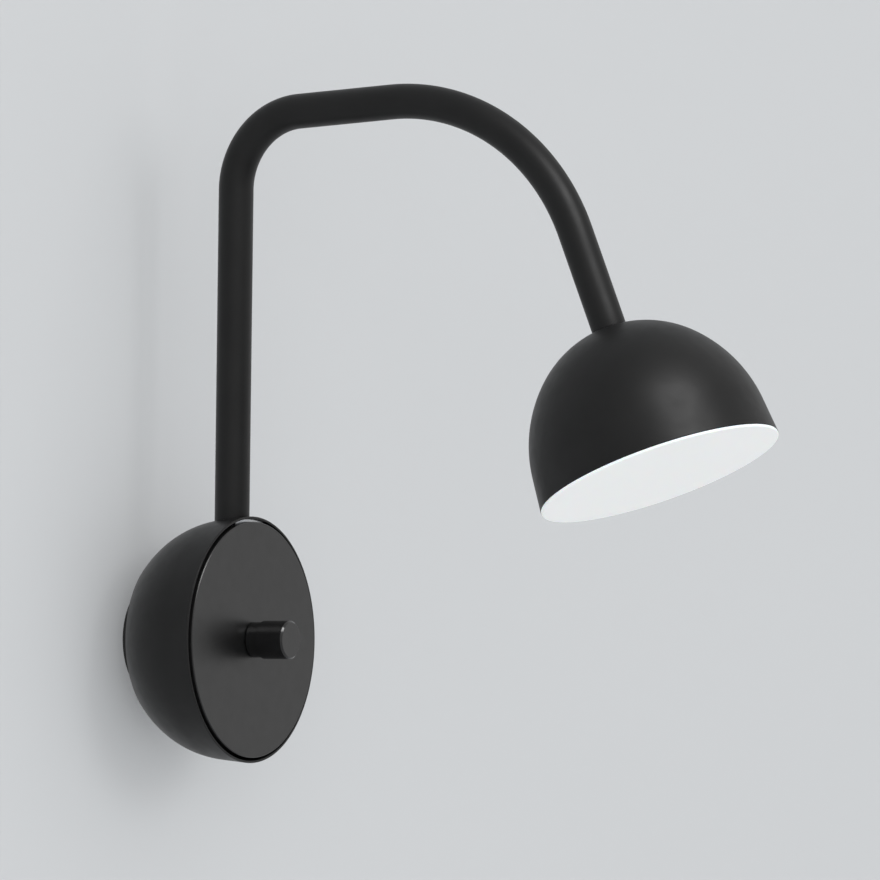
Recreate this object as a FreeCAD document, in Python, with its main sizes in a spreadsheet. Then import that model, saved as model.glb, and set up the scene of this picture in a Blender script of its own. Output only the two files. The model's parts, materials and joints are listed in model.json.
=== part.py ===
"""Swan-neck wall lamp: a wall bowl with a dimmer, a bent tube and a lamp bowl with an LED light.

Millimetres. The origin is the centre of the spacer's back face, on the wall. +Z is up, the wall is the
plane y = 0 and the lamp stands out along -Y. The arm lies in the plane x = 0.
"""
import FreeCAD, Part
import math
import os

import Sketcher

DRIVING_SIZES = [
    # the two bowls
    ("rim_radius", 60.0, "outer radius of both bowls at their rims"),
    ("bowl_wall", 1.2, "sheet thickness of both bowls"),
    ("base_reach", 57.0, "from the wall to the rim of the wall bowl"),
    ("base_crown_cut", 17.0, "height of the crown that the wall bowl's flat back cuts off its curve"),
    ("base_cone", 14.0, "depth of the straight, tapered part behind the wall bowl's rim"),
    ("base_draft", 6.0, "taper of that part, degrees"),
    ("base_turn", 38.0, "direction from its centre at which the wall bowl's side curve ends, degrees"),
    ("head_crown", 74.5, "depth from rim to crown of the lamp bowl's curve"),
    ("head_cone", 17.0, "depth of the straight, tapered part behind the lamp bowl's rim"),
    ("head_draft", 5.5, "taper of that part, degrees"),
    ("head_turn", 45.0, "direction from its centre at which the lamp bowl's side curve ends, degrees"),
    # the spacer on the wall
    ("spacer_radius", 27.0, "outer radius of the spacer"),
    ("spacer_height", 11.0, "height of the spacer, which holds the bowl off the wall"),
    ("spacer_wall", 2.0, "thickness of the spacer's rim"),
    ("spacer_floor", 1.6, "thickness of the spacer's floor"),
    ("cable_opening", 10.0, "radius of the spacer's cable opening"),
    ("wall_slot_pitch", 34.0, "distance between the two wall screw slots"),
    ("wall_slot_length", 8.0, "end to end length of a wall screw slot"),
    ("wall_slot_radius", 2.25, "half the width of a wall screw slot"),
    ("mount_pitch", 40.0, "distance between the two screws that hold the bowl to the spacer"),
    ("mount_boss_radius", 4.0, "radius of the bosses for them"),
    ("mount_thread_radius", 1.65, "radius of the tapped holes in the bosses"),
    ("mount_screw_radius", 1.6, "radius of those screws' shanks"),
    ("mount_head_radius", 3.5, "radius of their heads"),
    ("mount_head_height", 2.6, "height of their heads"),
    # the arm
    ("tube_radius", 8.5, "outer radius of the arm tube"),
    ("tube_wall", 1.5, "wall thickness of the arm tube"),
    ("tube_setback", 12.0, "from the plane of the wall bowl's rim back to the axis of the upright run"),
    ("tube_insertion", 4.4, "depth of the tube's lower end below the wall bowl's highest point"),
    ("upright_run", 159.0, "from the wall bowl's highest point to the start of the first bend"),
    ("first_bend_radius", 38.0, "radius of the first bend at the tube's axis"),
    ("first_bend", 86.0, "turn of the first bend, degrees"),
    ("bridge_run", 52.0, "straight run between the bends"),
    ("second_bend_radius", 104.0, "radius of the second bend at the tube's axis"),
    ("second_bend", 71.5, "turn of the second bend, degrees"),
    ("end_run", 51.4, "straight run from the second bend to the lamp bowl"),
    ("lead_radius", 2.5, "radius of the lead in the tube"),
    # the swivel
    ("swivel_limit", 75.0, "turn of the arm to each side, degrees"),
    ("spindle_radius", 5.0, "radius of the spigot's spindle and of the nipple's thread"),
    ("spigot_bore", 3.0, "radius of the wire bore in spigot and nipple"),
    ("spigot_plug", 22.0, "length of the spigot's plug in the tube"),
    ("spindle_length", 20.6, "length of the spindle below the tube"),
    ("block_half_width", 13.0, "half the width of the saddle block"),
    ("block_back", 12.0, "reach of the saddle block from the swivel axis towards the wall"),
    ("block_height", 16.0, "from the saddle block's lower face to the wall bowl's highest point"),
    ("stop_pin_radius", 1.5, "radius of the stop pin"),
    ("stop_pin_reach", 8.2, "reach of the stop pin from the swivel axis"),
    ("stop_window_height", 4.6, "height of the window that the stop pin sweeps"),
    ("washer_thickness", 0.8, "thickness of the swivel's two washers"),
    ("swivel_nut_flats", 14.0, "width across flats of the swivel nut"),
    ("swivel_nut_height", 5.0, "height of the swivel nut"),
    # the front plate and the dimmer
    ("plate_proud", 1.2, "how far the front plate stands out in front of the rim"),
    ("plate_thickness", 3.0, "thickness of the front plate"),
    ("plate_gap", 1.2, "gap between the front plate's edge and the bowl"),
    ("dimmer_width", 28.0, "side of the square dimmer housing"),
    ("dimmer_depth", 16.0, "depth of the dimmer housing"),
    ("dimmer_round", 1.5, "rounding of the dimmer housing's edges"),
    ("bushing_radius", 3.5, "radius of the dimmer's threaded bushing"),
    ("bushing_length", 7.5, "length of the bushing in front of the housing"),
    ("dimmer_nut_flats", 10.0, "width across flats of the dimmer nut"),
    ("dimmer_nut_height", 2.0, "height of the dimmer nut"),
    ("dimmer_washer_radius", 6.0, "radius of the dimmer washer"),
    ("dimmer_washer_thickness", 0.5, "thickness of the dimmer washer"),
    ("shaft_radius", 3.0, "radius of the dimmer shaft"),
    ("shaft_flat", 2.4, "distance from the shaft's axis to its flat"),
    ("knob_radius", 9.35, "radius of the knob's front part"),
    ("knob_neck_radius", 8.65, "radius of the knob's rear part"),
    ("knob_neck", 5.9, "length of the knob's rear part"),
    ("knob_reach", 22.5, "from the rim to the knob's front face"),
    ("knob_chamfer", 0.8, "chamfer of the knob's front edge"),
    ("knob_hollow_radius", 7.2, "radius of the hollow in the knob's back"),
    ("knob_gap", 0.5, "gap between knob and front plate"),
    ("knob_screw_radius", 1.5, "radius of the knob's set screw"),
    # the strap and the electrical parts in the wall bowl
    ("strap_half_span", 31.5, "half the outer width of the chassis strap"),
    ("strap_sheet", 1.5, "thickness of the strap"),
    ("strap_width", 16.0, "width of the strap"),
    ("strap_foot", 16.0, "length of each of the strap's feet"),
    ("driver_width", 28.0, "width of the driver"),
    ("driver_height", 20.0, "how far the driver stands off the bowl's floor"),
    ("driver_low", -4.0, "height of the driver's lower end"),
    ("driver_high", 29.0, "height of the driver's upper end"),
    ("driver_round", 2.0, "rounding of the driver's edges"),
    ("terminal_width", 24.0, "width of the terminal block"),
    ("terminal_height", 11.0, "how far the terminal block stands off the bowl's floor"),
    ("terminal_low", -30.0, "height of the terminal block's lower end"),
    ("terminal_high", -20.0, "height of the terminal block's upper end"),
    ("terminal_pitch", 7.5, "distance between the terminals"),
    ("terminal_well_radius", 2.0, "radius of the terminal block's screw wells"),
    ("terminal_well", 7.0, "depth of the screw wells"),
    ("grommet_drop", 12.0, "distance of the cable grommet below the bowl's axis"),
    ("grommet_hole", 5.0, "radius of the grommet's hole in the bowl"),
    ("grommet_flange", 7.0, "radius of the grommet's flanges"),
    ("grommet_lip", 1.2, "thickness of the grommet's flanges"),
    ("grommet_bore", 3.2, "radius of the grommet's bore"),
    ("earth_offset", 15.0, "sideways and downward place of the earth screw"),
    ("earth_head_radius", 3.5, "radius of the earth screw's head"),
    ("earth_head_height", 2.4, "height of the earth screw's head"),
    ("earth_shank_radius", 1.95, "radius of the earth screw's shank"),
    ("connector_side", 10.0, "side of the square lead connector"),
    ("connector_drop", 4.0, "from the spindle's lower end down to the lead connector"),
    ("connector_gap", 3.0, "from the dimmer housing up to the lead connector"),
    ("connector_round", 1.0, "rounding of the lead connector's upright edges"),
    # the light in the lamp bowl
    ("nipple_plug", 18.0, "length of the nipple's plug in the tube"),
    ("nipple_thread", 30.0, "length of the nipple's thread below the tube"),
    ("sink_radius", 50.0, "radius of the heat sink's plate"),
    ("sink_floor", 24.0, "height of the heat sink's lower face above the rim"),
    ("sink_plate", 4.0, "thickness of the heat sink's plate"),
    ("sink_boss", 9.0, "radius of the heat sink's boss"),
    ("sink_boss_chamfer", 1.5, "chamfer of the boss where it meets the bowl's crown"),
    ("fin_count", 12, "number of cooling fins"),
    ("fin_thickness", 2.0, "thickness of a fin"),
    ("fin_radius", 45.0, "radius that the fins reach"),
    ("fin_edge", 6.0, "height of a fin at its outer end"),
    ("fin_height", 30.0, "height of a fin at the boss"),
    ("board_radius", 46.0, "radius of the LED board"),
    ("board_thickness", 1.6, "thickness of the LED board"),
    ("chip_count", 12, "number of LED chips"),
    ("chip_ring", 26.0, "radius of the ring of chips"),
    ("chip_side", 3.5, "side of a chip"),
    ("chip_height", 0.7, "height of a chip"),
    ("board_screw_count", 3, "number of screws in the LED board"),
    ("board_screw_ring", 38.0, "radius of the ring of board screws"),
    ("board_screw_radius", 1.25, "radius of a board screw's shank"),
    ("board_screw_head", 2.75, "radius of a board screw's head"),
    ("board_screw_head_height", 1.9, "height of a board screw's head"),
    ("board_screw_length", 5.0, "length of a board screw's shank"),
    ("reflector_wall", 0.8, "thickness of the reflector"),
    ("reflector_flange", 2.5, "width of the reflector's flange under the board"),
    ("diffuser_edge", 1.3, "how far the diffuser's edge stands out below the rim"),
    ("diffuser_inset", 0.2, "how far the diffuser's edge lies inside the bowl's outline"),
    ("diffuser_round", 0.7, "rounding of the diffuser's visible edge"),
    ("diffuser_wall", 2.0, "thickness of the diffuser's face"),
    ("diffuser_collar", 4.0, "height of the diffuser's collar inside the rim"),
    # clearances
    ("hole_clearance", 0.3, "radial clearance of the tube in the bowl and of the diffuser's collar"),
    ("screw_clearance", 0.5, "radial clearance of screws in plain holes"),
    ("running_clearance", 0.05, "clearance of turning fits, radially and endways"),
    ("side_clearance", 0.3, "clearance between pieces that only pass each other"),
    ("seat_clearance", 0.05, "radial clearance of plugs and threads"),
]


class Size:
    """A number that keeps the spreadsheet expression it was worked out with."""

    def __init__(self, value, text):
        self.value = float(value)
        self.text = text

    def _with(self, other, sign, value):
        return Size(value, "(%s %s %s)" % (text(self), sign, text(other)))

    def __add__(self, other):
        return self._with(other, "+", self.value + number(other))

    def __sub__(self, other):
        return self._with(other, "-", self.value - number(other))

    def __mul__(self, other):
        return self._with(other, "*", self.value * number(other))

    def __truediv__(self, other):
        return self._with(other, "/", self.value / number(other))

    def __radd__(self, other):
        return Size(other, repr(float(other))) + self

    def __rsub__(self, other):
        return Size(other, repr(float(other))) - self

    def __rmul__(self, other):
        return Size(other, repr(float(other))) * self

    def __neg__(self):
        return Size(-self.value, "(0 - %s)" % self.text)


def number(size):
    """The plain value of a Size or of a number."""
    return size.value if isinstance(size, Size) else float(size)


def text(size):
    """The expression of a Size or of a number."""
    return size.text if isinstance(size, Size) else repr(float(size))


def sine(angle):
    return Size(math.sin(math.radians(number(angle))), "sin(%s)" % text(angle))


def cosine(angle):
    return Size(math.cos(math.radians(number(angle))), "cos(%s)" % text(angle))


def tangent(angle):
    return Size(math.tan(math.radians(number(angle))), "tan(%s)" % text(angle))


def arc_sine(ratio):
    return Size(math.degrees(math.asin(number(ratio))), "(asin(%s) / 1deg)" % text(ratio))


def root(size):
    return Size(math.sqrt(number(size)), "sqrt(%s)" % text(size))


doc = FreeCAD.newDocument("wall_lamp")
sheet = doc.addObject("Spreadsheet::Sheet", "sizes")
for row, (alias, value, note) in enumerate(DRIVING_SIZES, 1):
    sheet.set("A%d" % row, alias)
    sheet.set("B%d" % row, str(value))
    sheet.set("C%d" % row, note)
    sheet.setAlias("B%d" % row, alias)
doc.recompute()


class Sheet:
    """The spreadsheet's cells as Size values, by alias."""

    def __getattr__(self, alias):
        return Size(getattr(sheet, alias), "sizes." + alias)


s = Sheet()

# ---------------------------------------------------------------------------------------------------
# Tools for sketches and features
# ---------------------------------------------------------------------------------------------------

# how a sketch numbers its axes and the ends and centre of a line or arc
V_AXIS, H_AXIS = range(-2, 0)
START, END, CENTRE = range(1, 4)
ORIGIN = (H_AXIS, START)
NORMAL = FreeCAD.Vector(0, 0, 1)


def vector(x, y, z=0.0):
    return FreeCAD.Vector(number(x), number(y), number(z))


def bind(thing, name, size):
    """Set a property of an object to a size, and keep it tied to the spreadsheet."""
    if isinstance(size, Size):
        thing.setExpression(name, size.text)


def new_body(label, origin=(0, 0, 0), turn=0.0):
    """A body whose frame stands at origin, turned about X by turn degrees."""
    body = doc.addObject("PartDesign::Body", label)
    body.Label = label
    body.Placement = FreeCAD.Placement(vector(*origin), FreeCAD.Rotation(vector(1, 0, 0), number(turn)))
    for axis, size in zip("xyz", origin):
        bind(body, "Placement.Base." + axis, size)
    bind(body, "Placement.Rotation.Angle", turn)
    return body


def new_sketch(body, name, plane="XZ_Plane", offset=0.0):
    """A sketch on one of the body's own planes, moved along the plane's normal by offset."""
    sketch = body.newObject("Sketcher::SketchObject", body.Name + "_" + name)
    support = [item for item in body.Origin.OriginFeatures if item.Role == plane][0]
    sketch.AttachmentSupport = [(support, "")]
    sketch.MapMode = "FlatFace"
    sketch.AttachmentOffset = FreeCAD.Placement(vector(0, 0, offset), FreeCAD.Rotation())
    bind(sketch, "AttachmentOffset.Base.z", offset)
    return sketch


def dimension(sketch, kind, refs, size):
    """A dimension whose value follows the spreadsheet."""
    index = sketch.addConstraint(Sketcher.Constraint(kind, *refs, number(size)))
    bind(sketch, "Constraints[%d]" % index, size)


def pin(sketch, geometry, end, x, y):
    """Hold one point of a sketch at x, y."""
    for kind, axis, size in (("DistanceX", V_AXIS, x), ("DistanceY", H_AXIS, y)):
        if not isinstance(size, Size) and size == 0:
            sketch.addConstraint(Sketcher.Constraint("PointOnObject", geometry, end, axis))
        else:
            dimension(sketch, kind, ORIGIN + (geometry, end), size)


def polygon(sketch, points):
    """A closed outline of straight lines through points, each held in place."""
    first = sketch.GeometryCount
    count = len(points)
    for i, (x, y) in enumerate(points):
        after = points[(i + 1) % count]
        sketch.addGeometry(Part.LineSegment(vector(x, y), vector(*after)))
    for i, (x, y) in enumerate(points):
        follower = first + (i + 1) % count
        sketch.addConstraint(Sketcher.Constraint("Coincident", first + i, END, follower, START))
        pin(sketch, first + i, START, x, y)


def circle(sketch, x, y, radius):
    """A circle about x, y."""
    index = sketch.addGeometry(Part.Circle(vector(x, y), NORMAL, number(radius)))
    pin(sketch, index, CENTRE, x, y)
    dimension(sketch, "Radius", (index,), radius)


def rectangle(sketch, x, low, high):
    """A rectangle from -x to x sideways and from low to high."""
    polygon(sketch, [(-x, low), (x, low), (x, high), (-x, high)])


def slot(sketch, x, y, length, radius):
    """An upright slot with round ends, centred on x, y."""
    half = length / 2 - radius
    first = sketch.GeometryCount
    arc = Part.Circle(vector(x, y + half), NORMAL, number(radius))
    sketch.addGeometry(Part.ArcOfCircle(arc, 0, math.pi))
    sketch.addGeometry(Part.LineSegment(vector(x - radius, y + half), vector(x - radius, y - half)))
    arc = Part.Circle(vector(x, y - half), NORMAL, number(radius))
    sketch.addGeometry(Part.ArcOfCircle(arc, math.pi, 2 * math.pi))
    sketch.addGeometry(Part.LineSegment(vector(x + radius, y - half), vector(x + radius, y + half)))
    for i in range(4):
        sketch.addConstraint(Sketcher.Constraint("Tangent", first + i, END, first + (i + 1) % 4, START))
    pin(sketch, first, CENTRE, x, y + half)
    pin(sketch, first + 2, CENTRE, x, y - half)
    dimension(sketch, "Radius", (first,), radius)


def hexagon(sketch, flats):
    """A hexagon about the sketch's origin, by its width across flats."""
    corner = flats / math.sqrt(3)
    polygon(sketch, [(corner * math.cos(math.radians(a)) if a % 180 != 90 else 0,
                      corner * math.sin(math.radians(a)) if a % 180 else 0) for a in range(0, 360, 60)])


def turned(body, outline, name="turned"):
    """Add a body of revolution about the body's Z axis; outline holds (radius, height) points."""
    sketch = new_sketch(body, name + "_outline")
    polygon(sketch, outline)
    return revolve(body, sketch, name)


def revolve(body, sketch, name, kind="Revolution"):
    """Turn a sketch about its upright axis: a Revolution adds, a Groove cuts."""
    feature = body.newObject("PartDesign::" + kind, body.Name + "_" + name)
    feature.Profile = sketch
    feature.ReferenceAxis = (sketch, ["V_Axis"])
    feature.Angle = 360
    return feature


def pad(body, sketch, length, name="pad", both_sides=False):
    """Extrude a sketch along its normal."""
    feature = body.newObject("PartDesign::Pad", body.Name + "_" + name)
    feature.Profile = sketch
    feature.Midplane = both_sides
    feature.Length = number(length)
    bind(feature, "Length", length)
    return feature


def pocket(body, sketch, depth, name="pocket", forward=False):
    """Cut a sketch into the body, against the sketch's normal, or along it when forward."""
    doc.recompute()
    volume = body.Shape.Volume
    feature = body.newObject("PartDesign::Pocket", body.Name + "_" + name)
    feature.Profile = sketch
    feature.Reversed = forward
    feature.Length = number(depth)
    bind(feature, "Length", depth)
    doc.recompute()
    if not body.Shape.Volume < volume:
        raise RuntimeError("%s cuts nothing" % feature.Name)
    return feature


def pattern(body, sketch, features, count, name="pattern"):
    """Repeat features evenly round the sketch's normal."""
    feature = body.newObject("PartDesign::PolarPattern", body.Name + "_" + name)
    feature.Originals = features
    feature.Axis = (sketch, ["N_Axis"])
    feature.Angle = 360
    feature.Occurrences = int(number(count))
    bind(feature, "Occurrences", count)
    body.Tip = feature
    return feature


def fillet(body, radius, chosen, name="fillet"):
    """Round the edges of the body's tip for which chosen(edge) is true."""
    doc.recompute()
    base = body.Tip
    names = ["Edge%d" % (i + 1) for i, edge in enumerate(base.Shape.Edges) if chosen(edge)]
    feature = body.newObject("PartDesign::Fillet", body.Name + "_" + name)
    feature.Base = (base, names)
    feature.Radius = number(radius)
    bind(feature, "Radius", radius)
    return feature


def along(edge, axis):
    """True for a straight edge that runs along the given axis of its body."""
    if not isinstance(edge.Curve, Part.Line):
        return False
    return abs(abs(edge.Curve.Direction.dot(axis)) - 1) < 1e-6


# ---------------------------------------------------------------------------------------------------
# Frames: where each group of pieces stands
# ---------------------------------------------------------------------------------------------------

# Wall frame: x to the right, y up, z out of the wall.
WALL_TURN = 90.0
# Bowl frame: origin at the wall bowl's rim, z towards the wall, y down.
BOWL_TURN = -90.0

tube_standoff = s.base_reach - s.tube_setback
tube_foot = s.rim_radius - s.tube_insertion
upright_top = s.rim_radius + s.upright_run
spindle_foot = tube_foot - s.spindle_length
block_foot = s.rim_radius - s.block_height
connector_high = spindle_foot - s.connector_drop
connector_low = s.dimmer_width / 2 + s.connector_gap
arm_origin = (0, -tube_standoff, 0)
bridge_angle = s.first_bend
end_angle = s.first_bend + s.second_bend


def arm_end():
    """Centre of the tube's far end in the arm frame, as (y, z)."""
    y = (-s.first_bend_radius * (1 - cosine(bridge_angle)) - s.bridge_run * sine(bridge_angle)
         - s.second_bend_radius * (cosine(bridge_angle) - cosine(end_angle)) - s.end_run * sine(end_angle))
    z = (upright_top + s.first_bend_radius * sine(bridge_angle) + s.bridge_run * cosine(bridge_angle)
         + s.second_bend_radius * (sine(end_angle) - sine(bridge_angle)) + s.end_run * cosine(end_angle))
    return y, z


def bowl_curve(rim, depth, cone, draft, turn):
    """Centre and radius of a bowl's shoulder arc, and radius of its crown arc, centred on the axis.

    The shoulder arc carries on from the tapered part without a corner, up to the direction turn,
    where it meets the crown arc, again without a corner.
    """
    x = rim - cone * tangent(draft)
    y = depth - cone
    across = cosine(draft) - cosine(turn)
    upward = sine(turn) - sine(draft)
    spread = across * (1 - sine(turn)) - cosine(turn) * upward
    shoulder = (x * (1 - sine(turn)) - y * cosine(turn)) / spread
    crown = (y * across - x * upward) / spread
    return x - shoulder * cosine(draft), cone - shoulder * sine(draft), shoulder, crown


def bowl_outline(sketch, rim, depth, cone, draft, turn, flat_height=None, flat_radius=None):
    """Half section of a bowl: tapered side, shoulder arc, crown arc, and a flat at a height or radius."""
    ax, ay, shoulder, crown = bowl_curve(rim, depth, cone, draft, turn)
    by = depth - crown
    if flat_height is None:
        flat_height = by + root(crown * crown - flat_radius * flat_radius)
    else:
        flat_radius = root(crown * crown - (flat_height - by) * (flat_height - by))
    shoulder_at = vector(ax, ay)
    crown_at = vector(0, by)
    side_end = vector(rim - cone * tangent(draft), cone)
    end_turn = math.atan2(number(flat_height - by), number(flat_radius))
    draft_turn, joint_turn = math.radians(number(draft)), math.radians(number(turn))
    sketch.addGeometry(Part.LineSegment(vector(rim, 0), side_end))
    for centre, radius, start, stop in ((shoulder_at, shoulder, draft_turn, joint_turn),
                                        (crown_at, crown, joint_turn, end_turn)):
        sketch.addGeometry(Part.ArcOfCircle(Part.Circle(centre, NORMAL, number(radius)), start, stop))
    sketch.addGeometry(Part.LineSegment(vector(flat_radius, flat_height), vector(0, flat_height)))
    sketch.addGeometry(Part.LineSegment(vector(0, flat_height), vector(0, 0)))
    sketch.addGeometry(Part.LineSegment(vector(0, 0), vector(rim, 0)))
    for before, after in ((0, 1), (1, 2)):
        sketch.addConstraint(Sketcher.Constraint("Tangent", before, END, after, START))
    for before, after in ((2, 3), (3, 4), (4, 5), (5, 0)):
        sketch.addConstraint(Sketcher.Constraint("Coincident", before, END, after, START))
    pin(sketch, 0, START, rim, 0)
    pin(sketch, 1, START, rim - cone * tangent(draft), cone)
    pin(sketch, 4, START, 0, flat_height)
    pin(sketch, 5, START, 0, 0)
    sketch.addConstraint(Sketcher.Constraint("Horizontal", 3))
    sketch.addConstraint(Sketcher.Constraint("PointOnObject", 2, CENTRE, V_AXIS))
    dimension(sketch, "Radius", (1,), shoulder)
    dimension(sketch, "DistanceY", ORIGIN + (2, CENTRE), by)
    return flat_height


def inner_outline(sketch, rim, depth, cone, draft, turn, flat_height):
    """The same half section one wall thickness further in, which keeps the wall even."""
    wall = s.bowl_wall
    # the taper's end moves along its own normal, so both arcs keep their centres
    inner_cone = cone - wall * sine(draft)
    inner_rim = rim - wall / cosine(draft)
    bowl_outline(sketch, inner_rim, depth - wall, inner_cone, draft, turn, flat_height=flat_height - wall)


base_depth = s.base_reach - s.spacer_height
BASE_CURVE = (s.rim_radius, base_depth + s.base_crown_cut, s.base_cone, s.base_draft, s.base_turn)
HEAD_CURVE = (s.rim_radius, s.head_crown, s.head_cone, s.head_draft, s.head_turn)

base_floor = s.spacer_height + s.bowl_wall
bowl_origin = (0, -s.base_reach, 0)

head_arc = bowl_curve(*HEAD_CURVE)[-1]
head_seat = s.head_crown - head_arc + root(head_arc * head_arc - s.tube_radius * s.tube_radius)
head_tilt = end_angle - 180
end_y, end_z = arm_end()
head_y = end_y - tube_standoff - head_seat * sine(end_angle)
head_z = end_z + head_seat * cosine(end_angle)
head_origin = (0, head_y, head_z)

plate_front = s.base_reach + s.plate_proud
plate_back = plate_front - s.plate_thickness
strap_top = plate_back
dimmer_front = strap_top - s.strap_sheet


def inner_radius(depth, draft):
    """Inner radius of a bowl's tapered part at a depth behind the rim."""
    return s.rim_radius - depth * tangent(draft) - s.bowl_wall / cosine(draft)


# ---------------------------------------------------------------------------------------------------
# The wall bowl and what holds it
# ---------------------------------------------------------------------------------------------------

def wall_plate():
    """Spacer on the wall: a shallow cup with a cable opening, two wall screw slots and two bosses."""
    body = new_body("wall_plate", turn=WALL_TURN)
    inner = s.spacer_radius - s.spacer_wall
    turned(body, [(s.cable_opening, 0), (s.spacer_radius, 0), (s.spacer_radius, s.spacer_height),
                  (inner, s.spacer_height), (inner, s.spacer_floor), (s.cable_opening, s.spacer_floor)])
    bosses = new_sketch(body, "bosses", "XY_Plane", s.spacer_floor)
    for side in (-1, 1):
        circle(bosses, side * s.mount_pitch / 2, 0, s.mount_boss_radius)
    pad(body, bosses, s.spacer_height - s.spacer_floor, "boss_pad")
    threads = new_sketch(body, "threads", "XY_Plane", s.spacer_height)
    for side in (-1, 1):
        circle(threads, side * s.mount_pitch / 2, 0, s.mount_thread_radius)
    pocket(body, threads, s.spacer_height, "thread_holes")
    slots = new_sketch(body, "slots", "XY_Plane", s.spacer_floor)
    for side in (-1, 1):
        slot(slots, 0, side * s.wall_slot_pitch / 2, s.wall_slot_length, s.wall_slot_radius)
    pocket(body, slots, s.spacer_floor, "slot_holes")
    return body


def base_bowl():
    """Spun wall bowl: even wall, flat closed back, holes for grommet, screws and arm."""
    body = new_body("base_bowl", origin=bowl_origin, turn=BOWL_TURN)
    outside = new_sketch(body, "outside")
    bowl_outline(outside, *BASE_CURVE, flat_height=base_depth)
    revolve(body, outside, "solid")
    inside = new_sketch(body, "inside")
    inner_outline(inside, *BASE_CURVE, flat_height=base_depth)
    revolve(body, inside, "hollow", "Groove")
    holes = new_sketch(body, "back_holes", "XY_Plane", base_depth)
    circle(holes, 0, s.grommet_drop, s.grommet_hole)
    circle(holes, -s.earth_offset, s.earth_offset, s.earth_shank_radius + s.seat_clearance)
    for side in (-1, 1):
        circle(holes, side * s.mount_pitch / 2, 0, s.mount_screw_radius + s.screw_clearance)
    pocket(body, holes, s.bowl_wall, "back_hole_cut")
    arm_hole = new_sketch(body, "arm_hole")
    circle(arm_hole, 0, s.tube_setback, s.tube_radius + s.hole_clearance)
    pocket(body, arm_hole, s.rim_radius, "arm_hole_cut", forward=True)
    return body


def bowl_space():
    """The space inside the wall bowl, which shapes the top of the saddle block."""
    body = new_body("bowl_space", origin=bowl_origin, turn=BOWL_TURN)
    inside = new_sketch(body, "inside")
    inner_outline(inside, *BASE_CURVE, flat_height=base_depth)
    revolve(body, inside, "solid")
    return body


def cable_grommet():
    """Rubber grommet with two flanges, in the bowl's back."""
    body = new_body("cable_grommet", origin=(0, 0, -s.grommet_drop), turn=WALL_TURN)
    neck = s.grommet_hole - s.seat_clearance
    back = s.spacer_height - s.grommet_lip
    front = base_floor + s.grommet_lip
    turned(body, [(s.grommet_bore, back), (s.grommet_flange, back), (s.grommet_flange, s.spacer_height),
                  (neck, s.spacer_height), (neck, base_floor), (s.grommet_flange, base_floor),
                  (s.grommet_flange, front), (s.grommet_bore, front)])
    return body


def terminal_block():
    """Three-pole terminal block with screw wells in front and wire holes through it."""
    body = new_body("terminal_block", turn=WALL_TURN)
    block = new_sketch(body, "outline", "XY_Plane", base_floor)
    rectangle(block, s.terminal_width / 2, s.terminal_low, s.terminal_high)
    pad(body, block, s.terminal_height)
    wells = new_sketch(body, "wells", "XY_Plane", base_floor + s.terminal_height)
    middle = (s.terminal_low + s.terminal_high) / 2
    for place in (-1, 0, 1):
        circle(wells, place * s.terminal_pitch if place else 0, middle, s.terminal_well_radius)
    pocket(body, wells, s.terminal_well, "well_cut")
    wires = new_sketch(body, "wire_holes", "XZ_Plane", -s.terminal_high)
    for place in (-1, 0, 1):
        circle(wires, place * s.terminal_pitch if place else 0, base_floor + s.terminal_well_radius,
               s.terminal_well_radius / 2)
    pocket(body, wires, s.terminal_high - s.terminal_low, "wire_cut", forward=True)
    return body


def terminal_screws():
    """The three clamping screws, in their wells."""
    body = new_body("terminal_screws", turn=WALL_TURN)
    bottom = base_floor + s.terminal_height - s.terminal_well
    sketch = new_sketch(body, "outline", "XY_Plane", bottom)
    middle = (s.terminal_low + s.terminal_high) / 2
    for place in (-1, 0, 1):
        circle(sketch, place * s.terminal_pitch if place else 0, middle,
               s.terminal_well_radius - s.seat_clearance)
    pad(body, sketch, s.terminal_well * 0.7)
    return body


def earth_screw():
    """Earth screw through the bowl's back."""
    body = new_body("earth_screw", origin=(-s.earth_offset, 0, -s.earth_offset), turn=WALL_TURN)
    tip = s.spacer_floor + s.side_clearance
    top = base_floor + s.earth_head_height
    turned(body, [(0, tip), (s.earth_shank_radius, tip), (s.earth_shank_radius, base_floor),
                  (s.earth_head_radius, base_floor), (s.earth_head_radius, top), (0, top)])
    return body


def driver():
    """LED driver on the bowl's floor: a box with rounded upright edges."""
    body = new_body("driver", turn=WALL_TURN)
    sketch = new_sketch(body, "outline", "XY_Plane", base_floor)
    rectangle(sketch, s.driver_width / 2, s.driver_low, s.driver_high)
    pad(body, sketch, s.driver_height)
    fillet(body, s.driver_round, lambda edge: along(edge, NORMAL))
    return body


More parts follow.
